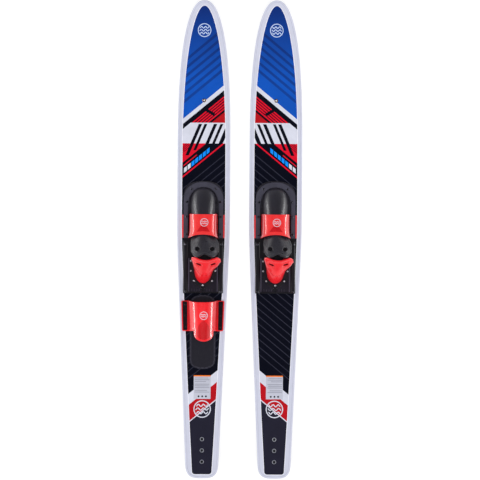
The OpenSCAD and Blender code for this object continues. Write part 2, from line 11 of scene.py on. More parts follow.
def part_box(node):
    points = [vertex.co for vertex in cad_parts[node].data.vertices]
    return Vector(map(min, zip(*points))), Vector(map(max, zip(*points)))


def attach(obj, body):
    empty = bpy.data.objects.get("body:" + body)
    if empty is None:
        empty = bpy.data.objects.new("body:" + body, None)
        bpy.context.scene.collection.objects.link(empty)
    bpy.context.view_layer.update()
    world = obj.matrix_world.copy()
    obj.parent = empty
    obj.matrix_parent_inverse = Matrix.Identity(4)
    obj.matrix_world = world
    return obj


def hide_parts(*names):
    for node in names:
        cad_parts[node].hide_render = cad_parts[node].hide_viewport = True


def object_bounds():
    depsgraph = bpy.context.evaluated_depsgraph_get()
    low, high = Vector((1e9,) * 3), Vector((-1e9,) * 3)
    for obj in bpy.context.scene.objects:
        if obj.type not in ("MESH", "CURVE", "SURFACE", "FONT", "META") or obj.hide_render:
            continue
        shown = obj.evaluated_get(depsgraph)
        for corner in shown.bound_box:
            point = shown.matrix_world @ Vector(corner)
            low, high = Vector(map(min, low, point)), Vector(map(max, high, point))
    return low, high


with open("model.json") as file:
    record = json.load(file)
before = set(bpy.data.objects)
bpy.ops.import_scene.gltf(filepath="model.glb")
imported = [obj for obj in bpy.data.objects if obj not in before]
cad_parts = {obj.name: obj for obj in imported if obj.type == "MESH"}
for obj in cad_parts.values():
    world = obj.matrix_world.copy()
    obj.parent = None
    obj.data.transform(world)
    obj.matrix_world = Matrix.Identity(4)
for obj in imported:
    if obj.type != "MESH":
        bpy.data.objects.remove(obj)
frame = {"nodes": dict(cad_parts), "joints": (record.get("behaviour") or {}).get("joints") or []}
cad_lo, cad_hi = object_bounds()

MM = 0.001

# ---------------------------------------------------------------- sizes, in mm, in a ski's own frame
# X is across the ski, Y runs from the tail to the nose, Z is up from the flat of the base.
SKI_LEN, HALF_MAX, SKI_THICK = 1698.0, 94.0, 22.0
NOSE_RISE, NOSE_THICK, TAIL_RISE, TAIL_THICK = 85.0, 11.0, 12.0, 13.0
FLAT_FROM, FLAT_TO = 380.0, 1060.0
TAPER, WAIST_Y, NOSE_FROM, CORNER_Y = 0.0435, 855.0, 1150.0, 60.0
NOSE_N, NOSE_M, CORNER_N = 2.8, 2.3, 3.3  # how square the nose and the tail's corners are
SHOULDER, BASE_INSET, WIDEST_AT, RIM_N = 4.0, 7.0, 0.45, 0.77  # the rim's section
TUNNEL = 3.2
SHEET_T, SHEET_FROM, SHEET_TO = 0.8, 14.0, SKI_LEN - 19
DECK_Z = SKI_THICK + SHEET_T
PLATE_Z = DECK_Z + 4.5
FLANGE_T, RUBBER = 3.0, 4.0
SLIDE_Z = PLATE_Z + 4.8
PLATE_FROM, PLATE_TO, BIND_HALF = 658.0, 1058.0, 71.0
CAP_FROM, CAP_ROLL, CAP_TO, CAP_N, TOE_HEIGHT = 888.0, 960.0, 1033.0, 2.8, 44.0
BAND_FROM, BAND_TO, BAND_OVER, BAND_T, BAND_N = 855.0, 937.0, 4.2, 3.4, 4.0
BAND_BOW, BAND_LEAD = 10.2, 2.5  # how far the middle of its back and front edges is in from the corners
TONGUE_FROM, TONGUE_TO, TONGUE_LEAN = 884.0, 783.0, 7.0
HOLE_AT, HOLE_Y, HOLE_R = 25.8, 811.5, 8.0
HEEL_MID, HEEL_A, HEEL_B, HEEL_H, HEEL_LEAN = 735.0, 31.0, 43.0, 88.0, 11.0
HEEL_FRONT, SLOT_AT, SLOT_DOWN = 782.0, 26.0, 17.0
RIB_IN, RIB_OUT, SLIDE_FROM, SLIDE_TO = 48.0, 53.7, 662.5, 783.0
REAR_FROM, REAR_TO, REAR_PAD_T = 525.0, 628.0, 4.0
REAR_HALF, REAR_H, REAR_DROP, REAR_BOW = (50.0, 53.0), 62.0, 16.0, 9.0
TAB_X, TAB_HALF = 4.0, 34.0
TIE_AT, FIN_AT, FIN_PITCH = 1346.0, 99.0, 40.0
LABEL_HALF, LABEL_FROM, LABEL_TO = 30.5, 282.0, 369.0
MARK_LIFT = 0.3  # how far a printed mark lies over its surface

# ---------------------------------------------------------------- where the skis lie
slope = Vector(next(j["axis"] for j in frame["joints"] if j["name"] == "left_heel_slide"))
PITCH = math.atan2(-slope.z, slope.y)


def placement(side):
    """A ski's frame in the row frame, read from the box of its flat binding plate."""
    lo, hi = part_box(side + "_binding_plate")
    s, c = math.sin(PITCH), math.cos(PITCH)
    back = PLATE_FROM * MM * c + DECK_Z * MM * s - lo[1]
    lift = hi[2] + PLATE_FROM * MM * s - PLATE_Z * MM * c
    at = Vector(((lo[0] + hi[0]) / 2, -back, lift))
    return Matrix.Translation(at) @ Matrix.Rotation(-PITCH, 4, "X")


PLACE = {side: placement(side) for side in ("left", "right")}


# ---------------------------------------------------------------- the ski's lines
def clamp01(t):
    return max(0.0, min(1.0, t))


def ease(t):
    t = clamp01(t)
    return t * t * (3 - 2 * t)


def mix(a, b, t):
    return a + (b - a) * t


def spow(c, n):
    """Signed power, for superellipses."""
    return math.copysign(abs(c) ** (2 / n), c)


def base_z(y):
    if y > FLAT_TO:
        return NOSE_RISE * ((y - FLAT_TO) / (SKI_LEN - FLAT_TO)) ** 2.2
    if y < FLAT_FROM:
        return TAIL_RISE * ((FLAT_FROM - y) / FLAT_FROM) ** 2
    return 0.0


def thick(y):
    thinned = (SKI_THICK - NOSE_THICK) * ease((y - FLAT_TO) / 560)
    return SKI_THICK - thinned - (SKI_THICK - TAIL_THICK) * ease((FLAT_FROM - y) / FLAT_FROM)


def top_z(y):
    return base_z(y) + thick(y)


def body_half(y):
    d = WAIST_Y - y
    return HALF_MAX - TAPER * (math.sqrt(d * d + 46 * 46) + d) / 2


def half(y):
    nose = (1 - clamp01((y - NOSE_FROM) / (SKI_LEN - NOSE_FROM)) ** NOSE_N) ** (1 / NOSE_M)
    tail = (1 - clamp01((CORNER_Y - y) / CORNER_Y) ** CORNER_N) ** (1 / CORNER_N)
    return body_half(y) * nose * tail


def sheet_half(y):
    t = clamp01((y - NOSE_FROM) / (SHEET_TO - NOSE_FROM))
    b = clamp01(1 - (y - SHEET_FROM) / 10)
    rim = 17 + 4 * (abs(y - 950) / 750) ** 2
    return (body_half(y) - rim) * (1 - t**2.5) ** (1 / 1.9) - 10 * (1 - math.sqrt(1 - b * b))


# ---------------------------------------------------------------- materials
def srgb(r, g, b):
    return tuple(((c / 255 + 0.055) / 1.055) ** 2.4 if c > 10 else c / 255 / 12.92 for c in (r, g, b))


def shade(c, k):
    return tuple(x * k for x in c)


class Nodes:
    """A material's node tree, with short names for the nodes that are used again and again."""

    def __init__(self, name):
        self.mat = bpy.data.materials.new(name)
        self.mat.use_nodes = True
        self.tree = self.mat.node_tree
        self.bsdf = self.tree.nodes["Principled BSDF"]
        self.coord = self.add("ShaderNodeTexCoord").outputs["Object"]

    def add(self, kind, **values):
        n = self.tree.nodes.new(kind)
        for k, v in values.items():
            setattr(n, k, v)
        return n

    def put(self, value, socket):
        """Sets a socket to a number or a colour, or links it to another node's output."""
        if isinstance(value, tuple):
            socket.default_value = (*value[:3], 1)
        elif isinstance(value, (int, float)):
            socket.default_value = value
        else:
            self.tree.links.new(value, socket)

    def pattern(self, kind, out, where, scale, **values):
        n = self.add(kind, **values)
        n.inputs["Scale"].default_value = scale
        self.put(where, n.inputs["Vector"])
        return n, n.outputs[out]

    def moved(self, scale=None, turn=0.0):
        if scale is None and not turn:
            return self.coord
        m = self.add("ShaderNodeMapping")
        m.inputs["Scale"].default_value = scale or (1, 1, 1)
        m.inputs["Rotation"].default_value = (0, 0, turn)
        self.put(self.coord, m.inputs["Vector"])
        return m.outputs["Vector"]

    def noise(self, scale, detail=3.0, rough=0.55, stretch=None):
        n, out = self.pattern("ShaderNodeTexNoise", "Fac", self.moved(stretch), scale)
        n.inputs["Detail"].default_value = detail
        n.inputs["Roughness"].default_value = rough
        return out

    def wave(self, scale, turn, profile="SIN"):
        kinds = {"wave_type": "BANDS", "bands_direction": "X", "wave_profile": profile}
        turned = self.moved(turn=math.radians(turn))
        return self.pattern("ShaderNodeTexWave", "Fac", turned, scale, **kinds)[1]

    def cells(self, scale):
        return self.pattern("ShaderNodeTexVoronoi", "Distance", self.coord, scale, feature="F1")[1]

    def math(self, op, a, b):
        m = self.add("ShaderNodeMath", operation=op)
        self.put(a, m.inputs[0])
        self.put(b, m.inputs[1])
        return m.outputs[0]

    def ranged(self, value, lo, hi, from_lo=0.0, from_hi=1.0):
        m = self.add("ShaderNodeMapRange")
        for socket, v in zip(m.inputs, (value, from_lo, from_hi, lo, hi)):
            self.put(v, socket)
        return m.outputs[0]

    def blend(self, fac, a, b):
        m = self.add("ShaderNodeMix", data_type="RGBA")
        for index, value in ((0, fac), (6, a), (7, b)):
            self.put(value, m.inputs[index])
        return m.outputs[2]

    def bump(self, height, strength, distance, normal=None):
        b = self.add("ShaderNodeBump")
        b.inputs["Strength"].default_value = strength
        b.inputs["Distance"].default_value = distance
        self.put(height, b.inputs["Height"])
        if normal is not None:
            self.put(normal, b.inputs["Normal"])
        return b.outputs["Normal"]

    def finish(self, colour, rough, normal, **fixed):
        """Wires up the shader. The fixed values are set on its own sockets, with _ for a space."""
        for name, value in (("Base Color", colour), ("Roughness", rough), ("Normal", normal)):
            self.put(value, self.bsdf.inputs[name])
        for name, value in fixed.items():
            self.bsdf.inputs[name.replace("_", " ")].default_value = value
        return self.mat


def ink(name, colour, rough=0.3, other=None, span=None):
    """Printed sheet under clear gloss: faint mottling, scuffs and orange peel, and a fade along Y if asked."""
    n = Nodes(name)
    base = n.blend(n.ranged(n.noise(22, 4), 0, 1, 0.35, 0.65), shade(colour, 0.93), shade(colour, 1.05))
    if other:
        sep = n.add("ShaderNodeSeparateXYZ")
        n.put(n.coord, sep.inputs[0])
        base = n.blend(n.ranged(sep.outputs["Y"], 0, 1, span[0] * MM, span[1] * MM), base, other)
    scuff = n.noise(9, 6, 0.7, stretch=(1.0, 0.25, 1.0))
    roughness = n.ranged(scuff, rough * 0.8, rough * 1.35, 0.3, 0.7)
    normal = n.bump(n.noise(420, 2), 0.06, 0.0006)
    return n.finish(base, roughness, normal, Specular_IOR_Level=0.12)


def moulded(name, colour, rough=0.5, grain=900, depth=0.25, worn=None, spec=0.3, drift=0.14):
    """Moulded plastic: fine spark-eroded grain, slight colour drift and paler rubbed patches."""
    n = Nodes(name)
    drifted = n.ranged(n.noise(35, 4), 0, 1, 0.3, 0.7)
    base = n.blend(drifted, shade(colour, 1 - drift), shade(colour, 1 + 0.8 * drift))
    if worn:
        base = n.blend(n.ranged(n.noise(60, 8, 0.75), 0, 0.5, 0.6, 0.8), base, worn)
    roughness = n.ranged(n.noise(50, 5, 0.6), rough * 0.82, rough * 1.2, 0.3, 0.7)
    normal = n.bump(n.cells(grain), depth, 0.0002, n.bump(n.noise(30, 2), 0.08, 0.002))
    return n.finish(base, roughness, normal, Specular_IOR_Level=spec)


def woven_rubber(name, colour, thread, pitch=105.0):
    """Black rubber with a fine diagonal weave moulded in."""
    n = Nodes(name)
    squares = n.math("MULTIPLY", n.wave(pitch, 38), n.wave(pitch, -52))
    drift = n.ranged(n.noise(18, 3), 0.7, 1.25, 0.3, 0.7)
    base = n.blend(n.math("MULTIPLY", squares, drift), colour, thread)
    roughness = n.ranged(n.noise(70, 4), 0.26, 0.38, 0.3, 0.7)
    normal = n.bump(squares, 0.35, 0.0006, n.bump(n.noise(800, 2), 0.1, 0.0002))
    return n.finish(base, roughness, normal, Specular_IOR_Level=0.45)


def red_rubber(name, colour, deep):
    """Glossy red rubber: flow marks that run a little deeper red in places, fine dust in the gloss."""
    n = Nodes(name)
    flow = n.noise(26, 4, 0.6, stretch=(1.0, 0.5, 1.0))
    base = n.blend(n.ranged(flow, 0, 1, 0.36, 0.66), deep, colour)
    roughness = n.ranged(n.noise(600, 2), 0.24, 0.36, 0.35, 0.65)
    normal = n.bump(flow, 0.12, 0.003, n.bump(n.cells(700), 0.08, 0.0002))
    return n.finish(base, roughness, normal, Specular_IOR_Level=0.3, Coat_Weight=0.7, Coat_Roughness=0.06)


def foam(name, colour, pitch=95.0):
    """Closed-cell foam with a pressed pattern of diamonds and fine open pores."""
    n = Nodes(name)
    lines = n.math("MINIMUM", n.wave(pitch, 45, "TRI"), n.wave(pitch, -45, "TRI"))
    diamonds = n.math("MINIMUM", lines, 0.35)
    base = n.blend(n.ranged(diamonds, 0, 1, 0.0, 0.35), shade(colour, 0.55), shade(colour, 1.1))
    roughness = n.ranged(n.noise(90, 4), 0.62, 0.85, 0.3, 0.7)
    normal = n.bump(diamonds, 0.6, 0.0012, n.bump(n.cells(1500), 0.3, 0.0002))
    return n.finish(base, roughness, normal, Specular_IOR_Level=0.12)


def metal(name, colour, rough=0.3, stain=None, part=1.0):
    """Metal with fine scratches and a little tarnish. part is under 1 below a lacquer or plating."""
    n = Nodes(name)
    tarnish = n.ranged(n.noise(220, 5, 0.7), 0, 1, 0.4, 0.7)
    base = n.blend(tarnish, colour, stain or shade(colour, 0.6))
    roughness = n.ranged(n.noise(380, 4, 0.6, stretch=(1, 0.15, 1)), rough * 0.7, rough * 1.4, 0.3, 0.7)
    normal = n.bump(n.noise(900, 3, stretch=(1, 0.1, 1)), 0.15, 0.0001)
    return n.finish(base, roughness, normal, Metallic=part)


SHELL = moulded("ski_shell_white", srgb(205, 207, 224), 0.34, grain=500, depth=0.04, spec=0.15, drift=0.03)
INKS = {
    "blue": ink("ink_blue", srgb(0, 80, 184), other=srgb(0, 42, 118), span=(1420, 1660)),
    "navy": ink("ink_navy", srgb(2, 60, 146), other=srgb(1, 42, 114), span=(1390, 1580)),
    "white": ink("ink_white", srgb(212, 214, 228)),
    "black": ink("ink_black", srgb(9, 11, 25)),
    "red": ink("ink_red", srgb(220, 2, 38)),
    "bright": ink("ink_bright", srgb(240, 240, 250)),
    # a darker grey for the bead round the rim: painted shade along the bevel's edge
    "rim_shade_line": ink("ink_rim_shade_line", srgb(184, 186, 204)),
    "deep_red": ink("ink_deep_red", srgb(180, 5, 22)),
    "grey": ink("ink_grey", srgb(50, 51, 66)),
    "charcoal": ink("ink_charcoal", srgb(33, 32, 48), rough=0.4),
    "sky": ink("ink_sky", srgb(0, 140, 250)),
    "pale": ink("ink_pale", srgb(186, 204, 236)),
    "label": ink("ink_label", srgb(192, 194, 208), rough=0.45),
    "orange": ink("ink_orange", srgb(240, 120, 40), rough=0.45),
    "mid_grey": ink("ink_mid_grey", srgb(150, 152, 168), rough=0.45),
}
WEAVE = woven_rubber("rubber_black_weave", srgb(16, 15, 20), srgb(76, 74, 88))
RED = red_rubber("rubber_red_gloss", srgb(252, 38, 48), srgb(238, 26, 36))
# a lighter copy of the red rubber for the instep band: painted sheen, where the band catches more reflected light
# than the heel
BAND_RED_SHEEN = red_rubber("rubber_red_painted_sheen", srgb(250, 60, 60), srgb(242, 44, 48))
DARK_RED = red_rubber("rubber_red_dark", srgb(216, 20, 32), srgb(198, 14, 24))
FOAM = foam("foam_black_diamond", srgb(36, 35, 44))
FOAM_EDGE = foam("foam_black_plain", srgb(52, 51, 62), pitch=30)
FRAME_MAT = moulded("plastic_frame_grey", srgb(64, 63, 77), 0.42, worn=srgb(86, 85, 100))
# a lighter grey for the tops of the slide's ribs: painted highlight
RIB_HIGHLIGHT_MAT = moulded("plastic_rib_highlight", srgb(62, 57, 72), 0.4, grain=450, worn=srgb(84, 80, 94))
# a black sheet used as painted shade, laid in gaps and hollows where shade falls
SHADE_SHEET_MAT = moulded("painted_shade_black", srgb(12, 11, 16), 0.6, grain=600, spec=0.15)
PLATE_MAT = moulded("plastic_black", srgb(26, 25, 31), 0.5, worn=srgb(44, 43, 52))
CLAMP_MAT = moulded("plastic_clamp_black", srgb(17, 14, 20), 0.5, worn=srgb(32, 30, 38))
SLIDE_MAT = moulded("plastic_slide_black", srgb(32, 28, 40), 0.5, grain=450, depth=0.6, worn=srgb(52, 48, 60))
FIN_MAT = moulded("plastic_fin_black", srgb(24, 24, 28), 0.4, worn=srgb(52, 52, 58))
STEEL = metal("steel_dark", srgb(105, 105, 115), 0.34)
SOCKET = metal("steel_black", srgb(34, 34, 40), 0.4, part=0.4)
BRIGHT = metal("steel_bright", srgb(188, 186, 196), 0.3, part=0.4)
WASHER = metal("zinc_washer", srgb(172, 175, 186), 0.4, stain=srgb(128, 130, 140), part=0.3)
BRASS = metal("brass_eyelet", srgb(188, 140, 84), 0.3, stain=srgb(110, 72, 40))
CAD_LOOKS = {
    "tie_eyelet": BRASS,
    "fin": FIN_MAT,
    "fin_inserts": BRASS,
    "fin_screws": SOCKET,
    "fin_washers": WASHER,
    "binding_inserts": BRASS,
    "binding_plate": PLATE_MAT,
    "toe_frame": FRAME_MAT,
    "toe_frame_screws": STEEL,
    "heel_tracks": PLATE_MAT,
    "track_screws": STEEL,
    "heel_slide": SLIDE_MAT,
    "heel_clamp": PLATE_MAT,
    "heel_screws": BRIGHT,
    "lock_lever": PLATE_MAT,
    "lock_pin": BRIGHT,
    "rear_clamps": CLAMP_MAT,
    "rear_screws": SOCKET,
    "rear_inserts": BRASS,
}


# ---------------------------------------------------------------- mesh helpers
def new_object(name, data):
    ob = bpy.data.objects.new(name, data)
    bpy.context.scene.collection.objects.link(ob)
    return ob


def to_mesh(name, bm):
    """A mesh in metres from a bmesh in mm, which it uses up."""
    bmesh.ops.scale(bm, vec=(MM, MM, MM), verts=bm.verts)
    mesh = bpy.data.meshes.new(name)
    bm.to_mesh(mesh)
    bm.free()
    return mesh


def make(name, bm, mat, side, body="ski"):
    """An object from a bmesh in the ski's frame, laid down with that ski and riding on a body."""
    mesh = to_mesh(name, bm)
    mesh.materials.append(mat)
    ob = new_object(side + "_" + name, mesh)
    ob.matrix_world = PLACE[side]
    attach(ob, side + "_" + body)
    return ob


def smooth(ob):
    for p in ob.data.polygons:
        p.use_smooth = True
    return ob


def finished(ob, side, node):
    """Even shading round a piece's corners. The piece stands for a CAD node."""
    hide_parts(side + "_" + node)
    smooth(ob).modifiers.new("normals", "WEIGHTED_NORMAL").keep_sharp = True


def rounded(ob, width):
    """Rounds a CAD object's sharp edges and evens its shading."""
    ob.modifiers.new("weld", "WELD").merge_threshold = 0.00001
    bevel = ob.modifiers.new("bevel", "BEVEL")
    bevel.width, bevel.segments = width * MM, 2
    bevel.limit_method, bevel.angle_limit = "ANGLE", math.radians(35)
    bevel.harden_normals = False
    ob.modifiers.new("normals", "WEIGHTED_NORMAL").keep_sharp = True


def outward_faces(bm):
    bmesh.ops.recalc_face_normals(bm, faces=bm.faces)
    return bm


def loop_faces(bm, a, b, close=True):
    """Quads between two rings or rows of vertices."""
    n = len(a)
    for i in range(n if close else n - 1):
        j = (i + 1) % n
        corners = (a[i], a[j], b[j], b[i])
        if not bm.faces.get(corners):
            bm.faces.new(corners)


def tangents(pts, closed):
    n = len(pts)
    out = []
    for i in range(n):
        ahead = pts[(i + 1) % n] if closed else pts[min(i + 1, n - 1)]
        behind = pts[i - 1] if closed or i else pts[0]
        out.append((ahead - behind).normalized())
    return out


def inward(outline):
    """Unit normals of a closed outline, to the left of its run: inwards where it runs anticlockwise."""
    along = tangents([Vector(p) for p in outline], True)
    return [Vector((-t.y, t.x)) for t in along]


def grid_normal(g, k, i):
    """The outward normal of a grid of points at one of them."""
    du = g[k][min(i + 1, len(g[k]) - 1)] - g[k][max(i - 1, 0)]
    dv = g[min(k + 1, len(g) - 1)][i] - g[max(k - 1, 0)][i]
    n = dv.cross(du)
    return n.normalized() if n.length > 1e-9 else Vector((0, 0, 1))


def sunk(g, depth):
    """The same grid, moved in from the outer face."""
    return [[p - grid_normal(g, k, i) * depth for i, p in enumerate(row)] for k, row in enumerate(g)]


def shell(grid, thickness, lip=None):
    """A rubber sheet from a grid of outer points, with round edges. lip(k, i) thickens it outwards."""
    rows, cols = len(grid), len(grid[0])
    g = [[Vector(p) for p in row] for row in grid]
    ns = [[grid_normal(g, k, i) for i in range(cols)] for k in range(rows)]
    bm = bmesh.new()
    outer, inner = [], []
    for k in range(rows):
        extra = [lip(k / (rows - 1), i / (cols - 1)) if lip else 0.0 for i in range(cols)]
        outer.append([bm.verts.new(g[k][i] + ns[k][i] * extra[i]) for i in range(cols)])
        inner.append([bm.verts.new(g[k][i] - ns[k][i] * thickness) for i in range(cols)])
    for face in (outer, inner):
        for a, b in zip(face, face[1:]):
            loop_faces(bm, a, b, close=False)
    edge = [(0, i) for i in range(cols)] + [(k, cols - 1) for k in range(1, rows)]
    edge += [(rows - 1, i) for i in range(cols - 2, -1, -1)] + [(k, 0) for k in range(rows - 2, 0, -1)]
    rings = [[outer[k][i] for k, i in edge]]
    steps = 4
    for s in range(1, steps):
        phi = math.pi * s / steps
        ring = []
        for k, i in edge:
            past = Vector()
            if k in (0, rows - 1):
                past += (g[k][i] - g[1 if k == 0 else rows - 2][i]).normalized()
            if i in (0, cols - 1):
                past += (g[k][i] - g[k][1 if i == 0 else cols - 2]).normalized()
            past = past.normalized() if past.length > 1e-9 else ns[k][i]
            a, b = outer[k][i].co, inner[k][i].co
            r = (a - b).length / 2
            ring.append(bm.verts.new((a + b) / 2 + ns[k][i] * r * math.cos(phi) + past * r * math.sin(phi)))
        rings.append(ring)
    rings.append([inner[k][i] for k, i in edge])
    for a, b in zip(rings, rings[1:]):
        loop_faces(bm, b, a)
    bmesh.ops.remove_doubles(bm, verts=bm.verts, dist=0.01)
    return outward_faces(bm)


def slab(outer, z0, z1, holes=()):
    """A flat plate from an outline, with holes."""
    bm = bmesh.new()
    edges = []
    for outline in (outer, *holes):
        vs = [bm.verts.new((x, y, z0)) for x, y in outline]
        edges += [bm.edges.new((a, b)) for a, b in zip(vs, vs[1:] + vs[:1])]
    bmesh.ops.triangle_fill(bm, edges=edges, use_beauty=True)
    top = bmesh.ops.extrude_face_region(bm, geom=bm.faces[:])
    raised = [v for v in top["geom"] if isinstance(v, bmesh.types.BMVert)]
    bmesh.ops.translate(bm, vec=(0, 0, z1 - z0), verts=raised)
    return outward_faces(bm)


def rect(x0, x1, y0, y1):
    return [(x0, y0), (x1, y0), (x1, y1), (x0, y1)]


def arch(a, b, n, steps):
    ts = [math.pi * i / steps for i in range(steps + 1)]
    return [(a * spow(math.cos(t), n), b * spow(math.sin(t), n)) for t in ts]


def arched(a, y0, y1, b, n):
    return [(-a, y0), (a, y0)] + [(x, y1 + y) for x, y in arch(a, b, n, 56)]


def capsule(a, y0, y1, b, n):
    up = [(x, y1 + y) for x, y in arch(a, b, n, 48)]
    return up + [(-x, y0 - y) for x, y in arch(a, b, n, 48)]


def turns(steps):
    return [2 * math.pi * i / steps for i in range(steps)]


def circle(x, y, r, steps):
    return [(x + r * math.cos(a), y + r * math.sin(a)) for a in turns(steps)]


def drill(x, y, r, z0, z1, slant=0.0):
    """An upright cylinder to cut with, leaning along Y by slant."""
    bm = bmesh.new()
    at = Matrix.Translation((x, y, (z0 + z1) / 2)) @ Matrix.Rotation(slant, 4, "X")
    bmesh.ops.create_cone(bm, cap_ends=True, segments=48, radius1=r, radius2=r, depth=z1 - z0, matrix=at)
    return bm


def cut(ob, shapes, side):
    """Cuts closed bmeshes, given in the ski's frame, out of an object, and keeps the result."""
    tools = []
    for bm in shapes:
        tool = new_object("cutter", to_mesh("cutter", bm))
        tool.matrix_world = PLACE[side]
        m = ob.modifiers.new("cut", "BOOLEAN")
        m.operation, m.solver, m.object = "DIFFERENCE", "EXACT", tool
        tools.append(tool)
    bpy.context.view_layer.update()
    dg = bpy.context.evaluated_depsgraph_get()
    mesh = bpy.data.meshes.new_from_object(ob.evaluated_get(dg), depsgraph=dg)
    ob.modifiers.clear()
    ob.data = mesh
    for tool in tools:
        bpy.data.objects.remove(tool)


def tube(points, r, closed=False, squash=1.0):
    """A bead along a line of points."""
    pts = [Vector(p) for p in points]
    bm = bmesh.new()
    rings = []
    for p, t in zip(pts, tangents(pts, closed)):
        up = Vector((0, 0, 1)) if abs(t.z) < 0.9 else Vector((0, 1, 0))
        a = t.cross(up).normalized()
        b = a.cross(t) * squash
        rings.append([bm.verts.new(p + a * r * math.cos(w) + b * r * math.sin(w)) for w in turns(10)])
    for a, b in zip(rings, rings[1:]):
        loop_faces(bm, a, b)
    if closed:
        loop_faces(bm, rings[-1], rings[0])
    else:
        bm.faces.new(rings[0])
        bm.faces.new(rings[-1])
    return outward_faces(bm)


def joined(parts):
    """Several bmeshes as one."""
    out = bmesh.new()
    for bm in parts:
        mesh = bpy.data.meshes.new("part")
        bm.to_mesh(mesh)
        bm.free()
        out.from_mesh(mesh)
        bpy.data.meshes.remove(mesh)
    return out


def flat_grid(x0, x1, y0, y1, step):
    bm = bmesh.new()
    nx, ny = int((x1 - x0) / step), int((y1 - y0) / step)
    vs = [[bm.verts.new((x0 + step * i, y0 + step * j, 0)) for i in range(nx + 1)] for j in range(ny + 1)]
    for a, b in zip(vs, vs[1:]):
        loop_faces(bm, a, b, close=False)
    return bm


# ---------------------------------------------------------------- printed areas
def inside_of(bm, poly):
    """Cuts the faces along a convex anticlockwise polygon, and returns those inside it."""
    xs, ys = [p[0] for p in poly], [p[1] for p in poly]
    keep = []
    for f in bm.faces:
        fx, fy = [v.co.x for v in f.verts], [v.co.y for v in f.verts]
        if max(fx) > min(xs) and min(fx) < max(xs) and max(fy) > min(ys) and min(fy) < max(ys):
            keep.append(f)
    for a, b in zip(poly, poly[1:] + poly[:1]):
        if not keep:
            return []
        out = Vector((b[1] - a[1], a[0] - b[0], 0)).normalized()
        co = Vector((a[0], a[1], 0))
        geom = set(keep)
        for f in keep:
            geom.update(f.edges)
            geom.update(f.verts)
        done = bmesh.ops.bisect_plane(bm, geom=list(geom), plane_co=co, plane_no=out, dist=1e-4)
        faces_now = [f for f in done["geom"] if isinstance(f, bmesh.types.BMFace)]
        keep = [f for f in faces_now if (f.calc_center_median() - co).dot(out) < 0]
    return keep


def clip(poly, by):
    """The part of one convex polygon inside another, both anticlockwise."""
    out = list(poly)
    for a, b in zip(by, by[1:] + by[:1]):
        kept = []
        depth = [(b[0] - a[0]) * (p[1] - a[1]) - (b[1] - a[1]) * (p[0] - a[0]) for p in out]
        for p, q, sp, sq in zip(out, out[1:] + out[:1], depth, depth[1:] + depth[:1]):
            if sp >= 0:
                kept.append(p)
            if (sp > 0 > sq) or (sp < 0 < sq):
                kept.append((mix(p[0], q[0], sp / (sp - sq)), mix(p[1], q[1], sp / (sp - sq))))
        out = kept
    return out


SLANT = 0.825


def slant_band(d0, d1, x0=-100.0, x1=100.0):
    """The area between two parallel diagonal lines, each named by where it crosses the centre line."""
    return [(x0, d0 + SLANT * x0), (x1, d0 + SLANT * x1), (x1, d1 + SLANT * x1), (x0, d1 + SLANT * x0)]


def stroke(points, width, closed=False):
    """Quads along a line, one per stretch."""
    pts = [Vector(p) for p in points]
    offsets = [Vector((-t.y, t.x)) * width / 2 for t in tangents(pts, closed)]
    sides = [(tuple(p - o), tuple(p + o)) for p, o in zip(pts, offsets)]
    pairs = zip(sides, sides[1:] + sides[:1] if closed else sides[1:])
    return [[a, c, d, b] for (a, b), (c, d) in pairs]


def emblem(x, y, r, width, waves=(-1, 0, 1)):
    """A plain ring round wave lines."""
    quads = stroke(circle(x, y, r - width / 2, 40), width, closed=True)
    for k in waves:
        wide = (r - 2.2 * width) * math.sqrt(1 - (0.45 * k) ** 2)
        line = [(x + wide * t / 8, y + k * r * 0.42 + 0.13 * r * math.sin(t * 0.9)) for t in range(-8, 9)]
        quads += stroke(line, width)
    return quads


FIELD_FROM, STRIPE_FROM, PANEL_TO = 1192.5, 1266.5, 1500.0  # where the print changes, straight across
BARS = ((-66, 12, 1150), (-38, 10, 1168), (-8, 12, 1160), (24, 10, 1180), (52, 15, 1192))  # x, width, foot
BAR_TOP, BAR_LEAN = 1262.0, 0.42


def deck_areas():
    """What is printed on the deck of the left ski, in order, each over the last."""
    over = rect(-100, 100, STRIPE_FROM, PANEL_TO)
    below = rect(-100, 100, 1000, FIELD_FROM)
    areas = [("black", rect(-100, 100, 0, SKI_LEN)), ("blue", slant_band(1342, SKI_LEN + 100))]
    areas += [("navy", slant_band(1394 + 28.5 * k, 1406 + 28.5 * k)) for k in range(6)]
    areas.append(("white", slant_band(1324, 1342)))
    areas += [("red", clip(slant_band(1254 + 10.6 * k, 1260.4 + 10.6 * k), over)) for k in range(5)]
    areas.append(("black", [(2, 1310), (9, 1318), (40, 1299), (33, 1291)]))
    areas.append(("deep_red", clip(slant_band(1100, 1245), over)))
    areas.append(("white", clip(rect(-100, 100, FIELD_FROM, STRIPE_FROM), slant_band(900, 1306))))
    areas.append(("red", clip(slant_band(1186, 1300), below)))
    for k in range(4):
        areas.append(("black", clip(slant_band(1221 + 7 * k, 1223.6 + 7 * k, -100, -52), below)))
    for x, w, foot in BARS:
        over_by = BAR_LEAN * (BAR_TOP - foot)
        areas.append(("black", [(x, foot), (x + w, foot), (x + w + over_by, BAR_TOP), (x + over_by, BAR_TOP)]))
    areas.append(("red", slant_band(1170, 1174.5, -73, -25)))
    for k in range(7):
        x = -71 + 13.4 * k
        areas.append(("white" if k < 2 else "sky", slant_band(1145, 1162, x, x + 10.6)))
    areas.append(("red", clip(slant_band(1131.5, 1138), below)))
    areas += [("grey", slant_band(1090 - 26.8 * k, 1093.2 - 26.8 * k)) for k in range(27)]
    bands = (("white", 300, 340), ("deep_red", 241, 300), ("white", 236.5, 241), ("charcoal", -200, 236.5))
    for name, d0, d1 in bands:
        areas.append((name, slant_band(d0, d1)))
    areas += [("pale", q) for q in emblem(0, 1593, 24, 3.0)]
    return areas + [("white", q) for q in emblem(0, 246, 31, 3.6)]


